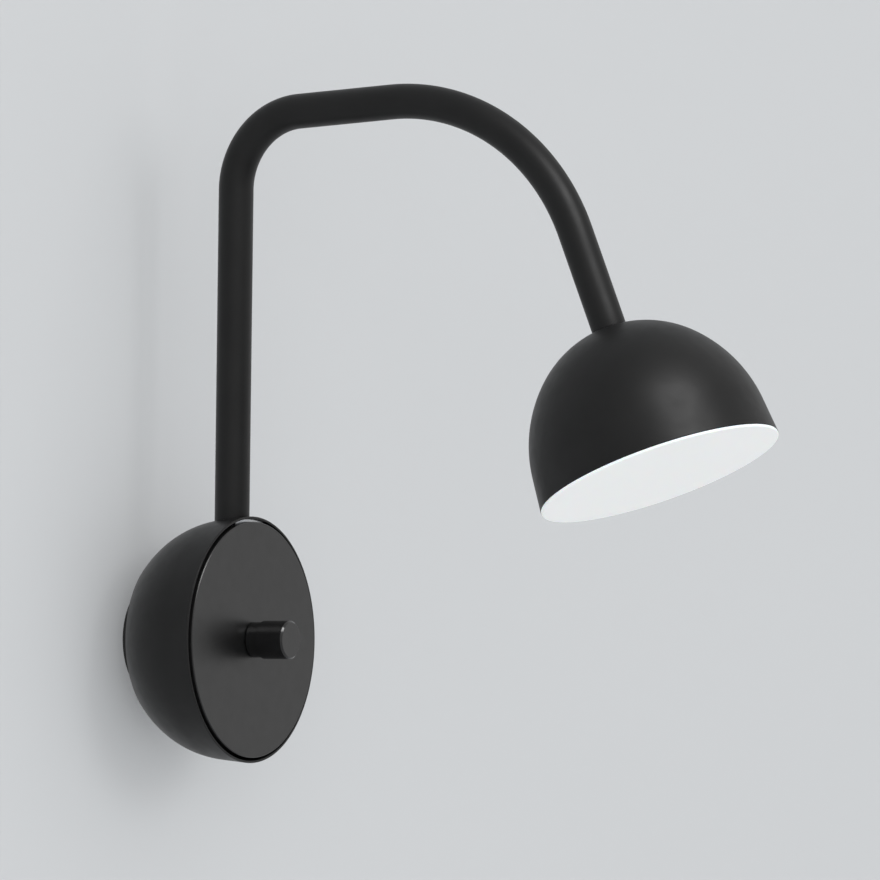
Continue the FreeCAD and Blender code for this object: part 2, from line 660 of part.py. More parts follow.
def chassis():
    """Bent steel strap: two feet on the bowl's floor, two legs, and a bridge for plate and dimmer."""
    body = new_body("chassis", turn=WALL_TURN)
    out = s.strap_half_span
    sheet_in = out - s.strap_sheet
    toe = out - s.strap_foot
    foot_top = base_floor + s.strap_sheet
    strip = [(-toe, base_floor), (-toe, foot_top), (-sheet_in, foot_top), (-sheet_in, dimmer_front),
             (sheet_in, dimmer_front), (sheet_in, foot_top), (toe, foot_top), (toe, base_floor),
             (out, base_floor), (out, strap_top), (-out, strap_top), (-out, base_floor)]
    sketch = new_sketch(body, "strip")
    polygon(sketch, strip)
    pad(body, sketch, s.strap_width, both_sides=True)
    outer = number(out)
    fillet(body, s.strap_sheet, lambda edge: along(edge, vector(0, 1, 0))
           and abs(abs(edge.Vertexes[0].X) - outer) < 1e-6, "outer_bends")
    bushing = new_sketch(body, "bushing_hole", "XY_Plane", strap_top)
    circle(bushing, 0, 0, s.bushing_radius + s.seat_clearance)
    pocket(body, bushing, s.strap_sheet, "bushing_cut")
    screws = new_sketch(body, "screw_holes", "XY_Plane", foot_top)
    for side in (-1, 1):
        circle(screws, side * s.mount_pitch / 2, 0, s.mount_screw_radius + s.screw_clearance)
    pocket(body, screws, s.strap_sheet, "screw_cut")
    return body


def chassis_screws():
    """Two screws through the strap's feet and the bowl into the spacer's bosses."""
    body = new_body("chassis_screws", turn=WALL_TURN)
    foot_top = base_floor + s.strap_sheet
    heads = new_sketch(body, "heads", "XY_Plane", foot_top)
    shanks = new_sketch(body, "shanks", "XY_Plane", s.spacer_floor)
    for side in (-1, 1):
        circle(heads, side * s.mount_pitch / 2, 0, s.mount_head_radius)
        circle(shanks, side * s.mount_pitch / 2, 0, s.mount_screw_radius)
    pad(body, heads, s.mount_head_height, "head_pad")
    pad(body, shanks, foot_top - s.spacer_floor, "shank_pad")
    return body


# ---------------------------------------------------------------------------------------------------
# The front plate and the dimmer
# ---------------------------------------------------------------------------------------------------

def face_plate():
    """Round front plate in the bowl's mouth, a little proud of the rim, with a bevelled front edge."""
    body = new_body("face_plate", turn=WALL_TURN)
    edge = inner_radius(s.base_reach - plate_back, s.base_draft) - s.plate_gap
    bevel = s.plate_thickness / 8
    hole = s.bushing_radius + s.seat_clearance
    turned(body, [(hole, plate_back), (edge, plate_back), (edge, plate_front - bevel),
                  (edge - bevel, plate_front), (hole, plate_front)])
    return body


def dimmer_housing():
    """Dimmer behind the strap, with a blind bore for its shaft."""
    body = new_body("dimmer_housing", turn=WALL_TURN)
    half = s.dimmer_width / 2
    sketch = new_sketch(body, "outline", "XY_Plane", dimmer_front - s.dimmer_depth)
    rectangle(sketch, half, -half, half)
    pad(body, sketch, s.dimmer_depth)
    fillet(body, s.dimmer_round, lambda edge: along(edge, NORMAL))
    bore = new_sketch(body, "shaft_bore", "XY_Plane", dimmer_front)
    circle(bore, 0, 0, s.shaft_radius + s.running_clearance)
    pocket(body, bore, s.dimmer_depth / 2, "shaft_bore_cut")
    return body


def dimmer_bushing():
    """Threaded bushing of the dimmer, through strap and front plate."""
    body = new_body("dimmer_bushing", turn=WALL_TURN)
    bore = s.shaft_radius + s.running_clearance
    top = dimmer_front + s.bushing_length
    turned(body, [(bore, dimmer_front), (s.bushing_radius, dimmer_front),
                  (s.bushing_radius, top), (bore, top)])
    return body


def dimmer_washer():
    """Washer under the dimmer nut, on the front plate."""
    body = new_body("dimmer_washer", turn=WALL_TURN)
    hole = s.bushing_radius + s.seat_clearance
    top = plate_front + s.dimmer_washer_thickness
    turned(body, [(hole, plate_front), (s.dimmer_washer_radius, plate_front), (s.dimmer_washer_radius, top),
                  (hole, top)])
    return body


def dimmer_nut():
    """Hexagon nut that clamps the front plate, hidden in the knob's hollow back."""
    body = new_body("dimmer_nut", turn=WALL_TURN)
    sketch = new_sketch(body, "outline", "XY_Plane", plate_front + s.dimmer_washer_thickness)
    hexagon(sketch, s.dimmer_nut_flats)
    circle(sketch, 0, 0, s.bushing_radius + s.seat_clearance)
    pad(body, sketch, s.dimmer_nut_height)
    return body


knob_back = plate_front + s.knob_gap
knob_front = s.base_reach + s.knob_reach
hollow_top = dimmer_front + s.bushing_length + s.knob_gap
shaft_top = knob_front - s.shaft_radius
shaft_foot = dimmer_front - s.dimmer_depth / 2 + s.side_clearance


def knob_screw_height():
    """Distance of the knob's set screw from the wall."""
    return (hollow_top + shaft_top) / 2


def dimmer_shaft():
    """Turning shaft of the dimmer, with a flat for the knob's set screw."""
    body = new_body("dimmer_shaft", turn=WALL_TURN)
    turned(body, [(0, shaft_foot), (s.shaft_radius, shaft_foot),
                  (s.shaft_radius, shaft_top), (0, shaft_top)])
    flat = new_sketch(body, "flat", "XY_Plane", shaft_top)
    polygon(flat, [(s.shaft_flat, -s.shaft_radius), (s.shaft_radius + s.seat_clearance, -s.shaft_radius),
                   (s.shaft_radius + s.seat_clearance, s.shaft_radius), (s.shaft_flat, s.shaft_radius)])
    pocket(body, flat, shaft_top - hollow_top, "flat_cut")
    return body


def knob():
    """Turned knob: a slimmer neck, a chamfered front, a hollow back and a bore for the shaft."""
    body = new_body("knob", turn=WALL_TURN)
    neck_top = knob_back + s.knob_neck
    bore = s.shaft_radius + s.seat_clearance
    turned(body, [(s.knob_hollow_radius, knob_back), (s.knob_neck_radius, knob_back),
                  (s.knob_neck_radius, neck_top), (s.knob_radius, neck_top),
                  (s.knob_radius, knob_front - s.knob_chamfer),
                  (s.knob_radius - s.knob_chamfer, knob_front), (0, knob_front),
                  (0, shaft_top + s.seat_clearance), (bore, shaft_top + s.seat_clearance),
                  (bore, hollow_top), (s.knob_hollow_radius, hollow_top)])
    screw_hole = new_sketch(body, "screw_hole", "YZ_Plane", s.knob_radius)
    circle(screw_hole, 0, knob_screw_height(), s.knob_screw_radius + s.seat_clearance)
    pocket(body, screw_hole, s.knob_radius - s.shaft_flat, "screw_hole_cut")
    return body


def knob_screw():
    """Set screw in the side of the knob that faces away from the lamp's usual view, on the shaft's flat."""
    body = new_body("knob_screw", turn=WALL_TURN)
    sketch = new_sketch(body, "outline", "YZ_Plane", s.shaft_flat)
    circle(sketch, 0, knob_screw_height(), s.knob_screw_radius)
    pad(body, sketch, s.knob_radius - s.shaft_flat - s.knob_chamfer)
    socket = new_sketch(body, "socket", "YZ_Plane", s.knob_radius - s.knob_chamfer)
    circle(socket, 0, knob_screw_height(), s.knob_screw_radius / 2)
    pocket(body, socket, s.knob_screw_radius, "socket_cut")
    return body


# ---------------------------------------------------------------------------------------------------
# The swivel
# ---------------------------------------------------------------------------------------------------

block_seat = tube_foot - s.washer_thickness
block_front = tube_standoff - plate_back + s.side_clearance
bearing_radius = s.spindle_radius + s.running_clearance
stop_height = block_foot + s.stop_window_height / 2


def saddle_block(space):
    """Block brazed under the bowl's top, which carries the spigot; its window limits the swivel."""
    body = new_body("saddle_body", origin=arm_origin)
    outline = new_sketch(body, "outline", "XY_Plane", block_foot)
    rectangle(outline, s.block_half_width, block_front, s.block_back)
    pad(body, outline, s.rim_radius - block_foot)
    bore = new_sketch(body, "bore", "XY_Plane", s.rim_radius)
    circle(bore, 0, 0, bearing_radius)
    pocket(body, bore, s.rim_radius - block_foot, "bore_cut")
    seat = new_sketch(body, "seat", "XY_Plane", s.rim_radius)
    circle(seat, 0, 0, s.tube_radius + s.hole_clearance)
    pocket(body, seat, s.rim_radius - block_seat, "seat_cut")
    window = new_sketch(body, "window", "XY_Plane", block_foot)
    half_angle = s.swivel_limit + arc_sine(s.stop_pin_radius / bearing_radius)
    window_outline(window, s.stop_pin_reach + s.side_clearance, half_angle)
    pocket(body, window, s.stop_window_height, "window_cut", forward=True)
    doc.recompute()
    block = doc.addObject("Part::MultiCommon", "saddle_block")
    block.Shapes = [body, space]
    block.Label = "saddle_block"
    return block


def window_outline(sketch, radius, half_angle):
    """Sector about the origin, opening to +y, which the stop pin sweeps."""
    half = math.radians(number(half_angle))
    up = math.pi / 2
    corner = [(number(radius) * math.cos(a), number(radius) * math.sin(a)) for a in (up - half, up + half)]
    rim = Part.Circle(vector(0, 0), NORMAL, number(radius))
    sketch.addGeometry(Part.ArcOfCircle(rim, up - half, up + half))
    sketch.addGeometry(Part.LineSegment(vector(*corner[1]), vector(0, 0)))
    sketch.addGeometry(Part.LineSegment(vector(0, 0), vector(*corner[0])))
    for before, after in ((0, 1), (1, 2), (2, 0)):
        sketch.addConstraint(Sketcher.Constraint("Coincident", before, END, after, START))
    sketch.addConstraint(Sketcher.Constraint("Coincident", 0, CENTRE, *ORIGIN))
    sketch.addConstraint(Sketcher.Constraint("Coincident", 1, END, *ORIGIN))
    dimension(sketch, "Radius", (0,), radius)
    dimension(sketch, "DistanceY", ORIGIN + (0, START), radius * cosine(half_angle))
    dimension(sketch, "DistanceY", ORIGIN + (0, END), radius * cosine(half_angle))


def swivel_washer():
    """Plastic washer between the block's seat and the foot of the tube."""
    body = new_body("swivel_washer", origin=arm_origin)
    hole = bearing_radius
    top = tube_foot - s.running_clearance
    turned(body, [(hole, block_seat), (s.tube_radius, block_seat), (s.tube_radius, top), (hole, top)])
    return body


def arm_spigot():
    """Turned spigot: a plug in the tube's foot and a spindle through the block, bored for the lead."""
    body = new_body("arm_spigot", origin=arm_origin)
    plug = s.tube_radius - s.tube_wall - s.seat_clearance
    turned(body, [(s.spigot_bore, spindle_foot), (s.spindle_radius, spindle_foot),
                  (s.spindle_radius, tube_foot), (plug, tube_foot), (plug, tube_foot + s.spigot_plug),
                  (s.spigot_bore, tube_foot + s.spigot_plug)])
    hole = new_sketch(body, "pin_hole", "XZ_Plane", 0.0)
    circle(hole, 0, stop_height, s.stop_pin_radius + s.seat_clearance)
    pocket(body, hole, s.spindle_radius + s.seat_clearance, "pin_hole_cut")
    return body


def stop_pin():
    """Pin across the spindle's wall, towards the wall side, whose end runs in the block's window."""
    body = new_body("stop_pin", origin=arm_origin)
    start = s.spigot_bore + s.seat_clearance
    sketch = new_sketch(body, "outline", "XZ_Plane", -start)
    circle(sketch, 0, stop_height, s.stop_pin_radius)
    feature = pad(body, sketch, s.stop_pin_reach - start)
    feature.Reversed = True
    return body


def spring_washer():
    """Dished spring washer under the block, which gives the swivel its friction."""
    body = new_body("spring_washer", origin=arm_origin)
    top = block_foot - s.running_clearance
    foot = top - s.washer_thickness
    hole = s.spindle_radius + s.seat_clearance
    turned(body, [(hole, foot), (s.swivel_nut_flats / 2, foot), (s.swivel_nut_flats / 2, top), (hole, top)])
    return body


def swivel_nut():
    """Locking nut on the spindle."""
    body = new_body("swivel_nut", origin=arm_origin)
    top = block_foot - s.running_clearance - s.washer_thickness
    sketch = new_sketch(body, "outline", "XY_Plane", top - s.swivel_nut_height)
    hexagon(sketch, s.swivel_nut_flats)
    circle(sketch, 0, 0, s.spindle_radius + s.seat_clearance)
    pad(body, sketch, s.swivel_nut_height)
    return body


# ---------------------------------------------------------------------------------------------------
# The arm
# ---------------------------------------------------------------------------------------------------

def swan_neck(body, low, end_length):
    """Path of the arm in the body's YZ plane: upright, bend, bridge, bend, end run."""
    sketch = new_sketch(body, "path", "YZ_Plane")
    first, second = number(s.first_bend_radius), number(s.second_bend_radius)
    bend = math.radians(number(bridge_angle))
    last = math.radians(number(end_angle))
    one = vector(0, upright_top)
    centre = one - vector(first, 0)
    two = centre + vector(math.cos(bend), math.sin(bend)) * first
    three = two + vector(-math.sin(bend), math.cos(bend)) * number(s.bridge_run)
    centre_two = three - vector(math.cos(bend), math.sin(bend)) * second
    four = centre_two + vector(math.cos(last), math.sin(last)) * second
    five = four + vector(-math.sin(last), math.cos(last)) * number(end_length)
    sketch.addGeometry(Part.LineSegment(vector(0, low), one))
    sketch.addGeometry(Part.ArcOfCircle(Part.Circle(centre, NORMAL, first), 0, bend))
    sketch.addGeometry(Part.LineSegment(two, three))
    sketch.addGeometry(Part.ArcOfCircle(Part.Circle(centre_two, NORMAL, second), bend, last))
    sketch.addGeometry(Part.LineSegment(four, five))
    for i in range(4):
        sketch.addConstraint(Sketcher.Constraint("Tangent", i, END, i + 1, START))
    pin(sketch, 0, START, 0, low)
    pin(sketch, 0, END, 0, upright_top)
    dimension(sketch, "Radius", (1,), s.first_bend_radius)
    dimension(sketch, "Radius", (3,), s.second_bend_radius)
    dimension(sketch, "Distance", (2,), s.bridge_run)
    dimension(sketch, "Distance", (4,), end_length)
    for line, angle in ((2, bridge_angle), (4, end_angle)):
        turn = Size(math.radians(90 + number(angle)), text(90 + angle))
        dimension(sketch, "Angle", (line,), turn)
    return sketch


def bent(body, profile, path):
    """Carry a profile along all five stretches of the arm's path."""
    pipe = body.newObject("PartDesign::AdditivePipe", body.Name + "_pipe")
    pipe.Profile = profile
    pipe.Spine = (path, ["Edge%d" % (i + 1) for i in range(5)])
    return pipe


def arm_tube():
    """Bent tube, open at both ends, from inside the wall bowl to the lamp bowl's crown."""
    body = new_body("arm_tube", origin=arm_origin)
    path = swan_neck(body, tube_foot, s.end_run)
    profile = new_sketch(body, "section", "XY_Plane", tube_foot)
    circle(profile, 0, 0, s.tube_radius)
    circle(profile, 0, 0, s.tube_radius - s.tube_wall)
    bent(body, profile, path)
    return body


def arm_lead():
    """Lead in the tube, from the connector in the wall bowl to the LED board."""
    body = new_body("arm_lead", origin=arm_origin)
    path = swan_neck(body, connector_high, s.end_run + head_seat - s.sink_floor)
    profile = new_sketch(body, "section", "XY_Plane", connector_high)
    circle(profile, 0, 0, s.lead_radius)
    bent(body, profile, path)
    return body


def lead_connector():
    """Connector at the lower end of the lead, which turns with the arm."""
    body = new_body("lead_connector", origin=arm_origin)
    half = s.connector_side / 2
    sketch = new_sketch(body, "outline", "XY_Plane", connector_low)
    rectangle(sketch, half, -half, half)
    pad(body, sketch, connector_high - connector_low)
    fillet(body, s.connector_round, lambda edge: along(edge, NORMAL))
    return body


# ---------------------------------------------------------------------------------------------------
# The lamp bowl and its light (head frame: origin at the rim's centre, z towards the tube)
# ---------------------------------------------------------------------------------------------------

def head_body(label):
    return new_body(label, origin=head_origin, turn=head_tilt)


def head_nipple():
    """Threaded nipple: a plug in the tube's end and a thread down into the heat sink's boss."""
    body = head_body("head_nipple")
    plug = s.tube_radius - s.tube_wall - s.seat_clearance
    foot = head_seat - s.nipple_thread
    top = head_seat + s.nipple_plug
    turned(body, [(s.spigot_bore, foot), (s.spindle_radius, foot), (s.spindle_radius, head_seat),
                  (plug, head_seat), (plug, top), (s.spigot_bore, top)])
    return body


def head_bowl():
    """Spun lamp bowl with a small flat on its crown, where the tube stands on it."""
    body = head_body("head_bowl")
    outside = new_sketch(body, "outside")
    flat_height = bowl_outline(outside, *HEAD_CURVE, flat_radius=s.tube_radius)
    revolve(body, outside, "solid")
    inside = new_sketch(body, "inside")
    inner_outline(inside, *HEAD_CURVE, flat_height=flat_height)
    revolve(body, inside, "hollow", "Groove")
    hole = new_sketch(body, "nipple_hole", "XY_Plane", head_seat)
    circle(hole, 0, 0, s.spindle_radius + s.seat_clearance)
    pocket(body, hole, s.bowl_wall, "nipple_hole_cut")
    return body


def board_screw_places():
    """Centres of the board screws, turned by half a fin pitch to lie between fins."""
    count = int(number(s.board_screw_count))
    start = 180.0 / number(s.fin_count)
    angles = [math.radians(start + 360.0 * i / count) for i in range(count)]
    return [(s.board_screw_ring * math.cos(a), s.board_screw_ring * math.sin(a)) for a in angles]


def heat_sink():
    """Cast heat sink: a plate, a boss that clamps the bowl against the tube, and radial fins."""
    body = head_body("heat_sink")
    top = head_seat - s.bowl_wall
    plate_top = s.sink_floor + s.sink_plate
    thread = s.spindle_radius + s.seat_clearance
    thread_foot = head_seat - s.nipple_thread - s.side_clearance
    bore = s.lead_radius + s.screw_clearance
    turned(body, [(bore, s.sink_floor), (s.sink_radius, s.sink_floor), (s.sink_radius, plate_top),
                  (s.sink_boss, plate_top), (s.sink_boss, top - s.sink_boss_chamfer),
                  (s.sink_boss - s.sink_boss_chamfer, top), (thread, top), (thread, thread_foot),
                  (bore, thread_foot)])
    fin = new_sketch(body, "fin")
    # each fin starts inside the boss and the plate, so that it joins them
    fin_start = s.sink_boss - s.fin_thickness / 2
    fin_foot = plate_top - s.fin_thickness
    polygon(fin, [(fin_start, fin_foot), (s.fin_radius, fin_foot), (s.fin_radius, plate_top + s.fin_edge),
                  (fin_start, plate_top + s.fin_height)])
    web = pad(body, fin, s.fin_thickness, "fin_pad", both_sides=True)
    holes = new_sketch(body, "screw_holes", "XY_Plane", s.sink_floor)
    pattern(body, holes, [web], s.fin_count)
    for x, y in board_screw_places():
        circle(holes, x, y, s.board_screw_radius + s.seat_clearance)
    pocket(body, holes, s.sink_plate, "screw_hole_cut", forward=True)
    return body


def led_board():
    """Round aluminium LED board under the heat sink."""
    body = head_body("led_board")
    sketch = new_sketch(body, "outline", "XY_Plane", s.sink_floor - s.board_thickness)
    circle(sketch, 0, 0, s.board_radius)
    for x, y in board_screw_places():
        circle(sketch, x, y, s.board_screw_radius + s.screw_clearance)
    pad(body, sketch, s.board_thickness)
    return body


def led_chips():
    """Ring of LED chips on the lower face of the board."""
    body = head_body("led_chips")
    low = s.sink_floor - s.board_thickness - s.chip_height
    sketch = new_sketch(body, "chip", "XY_Plane", low)
    half = s.chip_side / 2
    polygon(sketch, [(s.chip_ring - half, -half), (s.chip_ring + half, -half), (s.chip_ring + half, half),
                     (s.chip_ring - half, half)])
    chip = pad(body, sketch, s.chip_height)
    pattern(body, sketch, [chip], s.chip_count)
    return body


def board_screws():
    """Screws that hold the LED board to the heat sink."""
    body = head_body("board_screws")
    board_low = s.sink_floor - s.board_thickness
    heads = new_sketch(body, "heads", "XY_Plane", board_low - s.board_screw_head_height)
    shanks = new_sketch(body, "shanks", "XY_Plane", board_low)
    for x, y in board_screw_places():
        circle(heads, x, y, s.board_screw_head)
        circle(shanks, x, y, s.board_screw_radius)
    pad(body, heads, s.board_screw_head_height, "head_pad")
    pad(body, shanks, s.board_screw_length, "shank_pad")
    return body


def reflector():
    """White reflector cone from the board down to the diffuser."""
    body = head_body("reflector")
    top = s.sink_floor - s.board_thickness
    low = s.diffuser_collar
    wide = inner_radius(low, s.head_draft) - s.side_clearance
    narrow = s.board_radius
    turned(body, [(narrow - s.reflector_flange, top - s.reflector_wall),
                  (narrow, top - s.reflector_wall), (wide - s.reflector_wall, low), (wide, low),
                  (narrow + s.reflector_wall, top), (narrow - s.reflector_flange, top)])
    return body


def diffuser():
    """Opal diffuser: a face with a rounded edge under the rim and a collar inside it."""
    body = head_body("diffuser")
    edge = s.rim_radius - s.diffuser_inset
    collar = inner_radius(s.diffuser_collar, s.head_draft) - s.hole_clearance
    inner = collar - s.diffuser_wall
    face_top = s.diffuser_wall - s.diffuser_edge
    turned(body, [(0, -s.diffuser_edge), (edge, -s.diffuser_edge), (edge, 0), (collar, 0),
                  (collar, s.diffuser_collar), (inner, s.diffuser_collar), (inner, face_top), (0, face_top)])
    low = -number(s.diffuser_edge)
    outer = number(edge)
    fillet(body, s.diffuser_round, lambda e: isinstance(e.Curve, Part.Circle)
           and abs(e.Curve.Radius - outer) < 1e-6 and abs(e.Curve.Center.z - low) < 1e-6)
    return body


# ---------------------------------------------------------------------------------------------------
# Build, check and write
# ---------------------------------------------------------------------------------------------------

space = bowl_space()
nodes = [
    wall_plate(), base_bowl(), cable_grommet(), terminal_block(), terminal_screws(), earth_screw(),
    driver(), chassis(), chassis_screws(), face_plate(), dimmer_housing(), dimmer_bushing(),
    dimmer_washer(), dimmer_nut(), dimmer_shaft(), knob(), knob_screw(), saddle_block(space),
    swivel_washer(), arm_spigot(), stop_pin(), spring_washer(), swivel_nut(), arm_tube(), arm_lead(),
    lead_connector(), head_nipple(), head_bowl(), heat_sink(), led_board(), led_chips(), board_screws(),
    reflector(), diffuser(),
]
doc.recompute()

for item in doc.Objects:
    if "Invalid" in item.State or "Error" in item.State:
        raise RuntimeError("%s failed: %s" % (item.Name, item.State))
for node in nodes:
    if node.Shape.isNull() or not node.Shape.isValid() or not node.Shape.Solids:
        raise RuntimeError("%s has no valid solid" % node.Label)

os.makedirs("parts", exist_ok=True)
for node in nodes:
    node.Shape.exportStep("parts/%s.step" % node.Label)
    print("%-16s %2d solid(s) %10.1f mm3" % (node.Label, len(node.Shape.Solids), node.Shape.Volume))
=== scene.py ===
"""Looks of the swan-neck wall lamp: smooth powder-coated bowls, tube, plate, knob and opal diffuser.

Metres, in the CAD model's frame: +Z is up, the wall is the plane y = 0, the lamp stands out along -Y and
the arm lies in the plane x = 0. The sizes below are the CAD model's own.
"""
import json
import math

import bmesh
import bpy
import numpy as np
from mathutils import Matrix, Vector


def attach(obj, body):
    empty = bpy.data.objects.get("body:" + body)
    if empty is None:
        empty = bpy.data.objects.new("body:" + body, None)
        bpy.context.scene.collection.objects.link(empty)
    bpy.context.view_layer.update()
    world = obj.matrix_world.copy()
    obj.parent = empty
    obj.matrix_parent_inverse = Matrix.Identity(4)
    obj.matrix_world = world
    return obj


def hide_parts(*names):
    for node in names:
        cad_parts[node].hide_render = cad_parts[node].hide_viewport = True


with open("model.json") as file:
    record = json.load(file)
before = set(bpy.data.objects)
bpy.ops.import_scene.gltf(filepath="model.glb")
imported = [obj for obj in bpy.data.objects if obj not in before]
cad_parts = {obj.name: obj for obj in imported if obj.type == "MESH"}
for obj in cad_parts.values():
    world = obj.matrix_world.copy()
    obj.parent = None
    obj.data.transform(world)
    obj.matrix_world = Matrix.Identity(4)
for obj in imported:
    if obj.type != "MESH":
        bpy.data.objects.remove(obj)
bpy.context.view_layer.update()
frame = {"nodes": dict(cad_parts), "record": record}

MM = 0.001

# ---------------------------------------------------------------------------------------------------
# Sizes
# ---------------------------------------------------------------------------------------------------

RIM_RADIUS = 60 * MM
BOWL_WALL = 1.2 * MM
RIM_ROUND = 0.3 * MM
SPACER_RADIUS = 27 * MM
SPACER_HEIGHT = 11 * MM
BASE_REACH = 57 * MM
BASE_DEPTH = BASE_REACH - SPACER_HEIGHT
# depth of the full curve, depth of the taper, taper and end of the side arc in degrees
BASE_CURVE = (63 * MM, 14 * MM, 6, 38)
HEAD_CURVE = (74.5 * MM, 17 * MM, 5.5, 45)
BACK_ROUND = 0.6 * MM
# holes in the wall bowl's back for two screws, the cable and the earth screw: radius, sideways place, height
BACK_HOLES = [(2.1 * MM, -20 * MM, 0), (2.1 * MM, 20 * MM, 0), (5 * MM, 0, -12 * MM),
              (2 * MM, -15 * MM, -15 * MM)]

TUBE_RADIUS = 8.5 * MM
TUBE_WALL = 1.5 * MM
TUBE_SETBACK = 12 * MM
TUBE_Y = TUBE_SETBACK - BASE_REACH
TUBE_FOOT = 55.6 * MM
TUBE_LIP = 0.3 * MM
UPRIGHT_TOP = 219 * MM
FIRST_BEND, FIRST_RADIUS = 86, 38 * MM
BRIDGE_RUN = 52 * MM
SECOND_BEND, SECOND_RADIUS = 71.5, 104 * MM
END_RUN = 51.4 * MM
HOLE_CLEARANCE = 0.3 * MM

PLATE_FRONT = BASE_REACH + 1.2 * MM
PLATE_THICKNESS = 3.0 * MM
PLATE_GAP = 1.2 * MM
PLATE_BEVEL = 0.375 * MM
PLATE_ROUND = 0.08 * MM
BUSHING_RADIUS = 3.55 * MM

KNOB_BACK = PLATE_FRONT + 0.5 * MM
KNOB_NECK = 5.9 * MM
KNOB_FRONT = BASE_REACH + 22.5 * MM
KNOB_RADIUS, KNOB_NECK_RADIUS = 9.35 * MM, 8.65 * MM
KNOB_CHAMFER = 0.8 * MM
KNOB_ROUND = 0.12 * MM
KNOB_HOLLOW = 7.2 * MM
KNOB_HOLLOW_TOP = 61.7 * MM
SHAFT_RADIUS, SHAFT_TOP = 3.05 * MM, 76.55 * MM
KNOB_SCREW_RADIUS, KNOB_SCREW_Y = 1.55 * MM, -69.1 * MM
KNOB_SCREW_HOLE = (2 * MM, 12 * MM)

DIFFUSER_EDGE = 1.3 * MM
DIFFUSER_RADIUS = 59.8 * MM
DIFFUSER_ROUND = 0.7 * MM
DIFFUSER_WALL = 2 * MM
DIFFUSER_COLLAR = 4 * MM
SPINDLE_RADIUS = 5.05 * MM

# rows of points along a bowl's taper, side arc and crown arc
TAPER_ROWS, SIDE_ROWS, CROWN_ROWS = 16, 33, 29
SHARP_ANGLE = 38

WALL_AXIS = Vector((0, -1, 0))
UP_AXIS = Vector((0, 0, 1))

# ---------------------------------------------------------------------------------------------------
# Lines: arrays of (radius, height) points
# ---------------------------------------------------------------------------------------------------


def eased(count):
    """Numbers from 0 to 1 that crowd together at both ends: half of one minus the cosine."""
    return (1 - np.cos(np.linspace(0, np.pi, count))) / 2


def bowl_line(depth, cone, draft, turn, flat_height=None, flat_radius=None, inset=0.0):
    """Side view of a bowl from rim to flat, as (radius, depth behind the rim).

    A straight taper leads into the side arc without a corner; at the direction turn the side arc gives
    way to the crown arc, whose centre is on the axis. Two linear equations, for the radius and the depth
    of that joint, give both arcs' radii. inset moves every point inward along its own normal.
    """
    q, t = np.radians(draft), np.radians(turn)
    x, y = RIM_RADIUS - cone * np.tan(q), depth - cone
    across, upward = np.cos(q) - np.cos(t), np.sin(t) - np.sin(q)
    spread = across * (1 - np.sin(t)) - np.cos(t) * upward
    side = (x * (1 - np.sin(t)) - y * np.cos(t)) / spread
    crown = (y * across - x * upward) / spread
    crown_y = depth - crown
    if flat_height is None:
        end = np.arccos(flat_radius / crown)
    else:
        end = np.arcsin((flat_height - inset - crown_y) / (crown - inset))
    normal = np.concatenate([np.full(TAPER_ROWS, q), np.linspace(q, t, SIDE_ROWS + 1)[1:],
                             np.linspace(t, end, CROWN_ROWS + 1)[1:]])
    along = cone * eased(TAPER_ROWS)
    centre = np.concatenate([
        np.stack([RIM_RADIUS - along * np.tan(q), along], 1),
        np.broadcast_to([x - side * np.cos(q), cone - side * np.sin(q)], (SIDE_ROWS, 2)),
        np.broadcast_to([0, crown_y], (CROWN_ROWS, 2)),
    ])
    reach = np.repeat([0, side, crown], [TAPER_ROWS, SIDE_ROWS, CROWN_ROWS]) - inset
    return centre + reach[:, None] * np.stack([np.cos(normal), np.sin(normal)], 1)


def rounded(corners, radii, closed=True, steps=6, margin=0.25 * MM):
    """A polygon with every corner turned into an arc, and a point close to each end of each side.

    The arc's centre lies on the corner's bisector. Its radius vector turns evenly from one side's normal
    to the other's: each point is the mean of both, weighted by the sines of the angles still to go.
    An open line keeps its two ends as they are.
    """
    corners = np.asarray(corners, float)
    radii = np.broadcast_to(np.asarray(radii, float), (len(corners),))[:, None]
    before = np.roll(corners, 1, 0) - corners
    after = np.roll(corners, -1, 0) - corners
    before_unit = before / np.linalg.norm(before, axis=1, keepdims=True)
    after_unit = after / np.linalg.norm(after, axis=1, keepdims=True)
    half = np.arccos(np.clip((before_unit * after_unit).sum(1), -1, 1))[:, None] / 2
    start = corners + before_unit * radii / np.tan(half)
    stop = corners + after_unit * radii / np.tan(half)
    bisector = before_unit + after_unit
    bisector /= np.linalg.norm(bisector, axis=1, keepdims=True)
    centre = corners + bisector * radii / np.sin(half)
    sweep = (np.pi - 2 * half)[:, :, None]
    part = np.linspace(0, 1, steps + 1)[None, :, None]
    arc = (np.sin((1 - part) * sweep) * (start - centre)[:, None]
           + np.sin(part * sweep) * (stop - centre)[:, None]) / np.sin(sweep)
    arc += centre[:, None]
    # the close points keep a wide flat side flat right up to its rounded edge
    room = np.linalg.norm(np.roll(start, -1, 0) - stop, axis=1, keepdims=True)
    near = np.minimum(margin, room / 3)
    line = np.concatenate([
        (start + before_unit * np.roll(near, 1, 0))[:, None], arc, (stop + after_unit * near)[:, None],
    ], 1)
    if closed:
        return line.reshape(-1, 2)
    return np.concatenate([corners[:1], line[1:-1].reshape(-1, 2), corners[-1:]])


# ---------------------------------------------------------------------------------------------------
# Surfaces: arrays of points in rows and columns
# ---------------------------------------------------------------------------------------------------


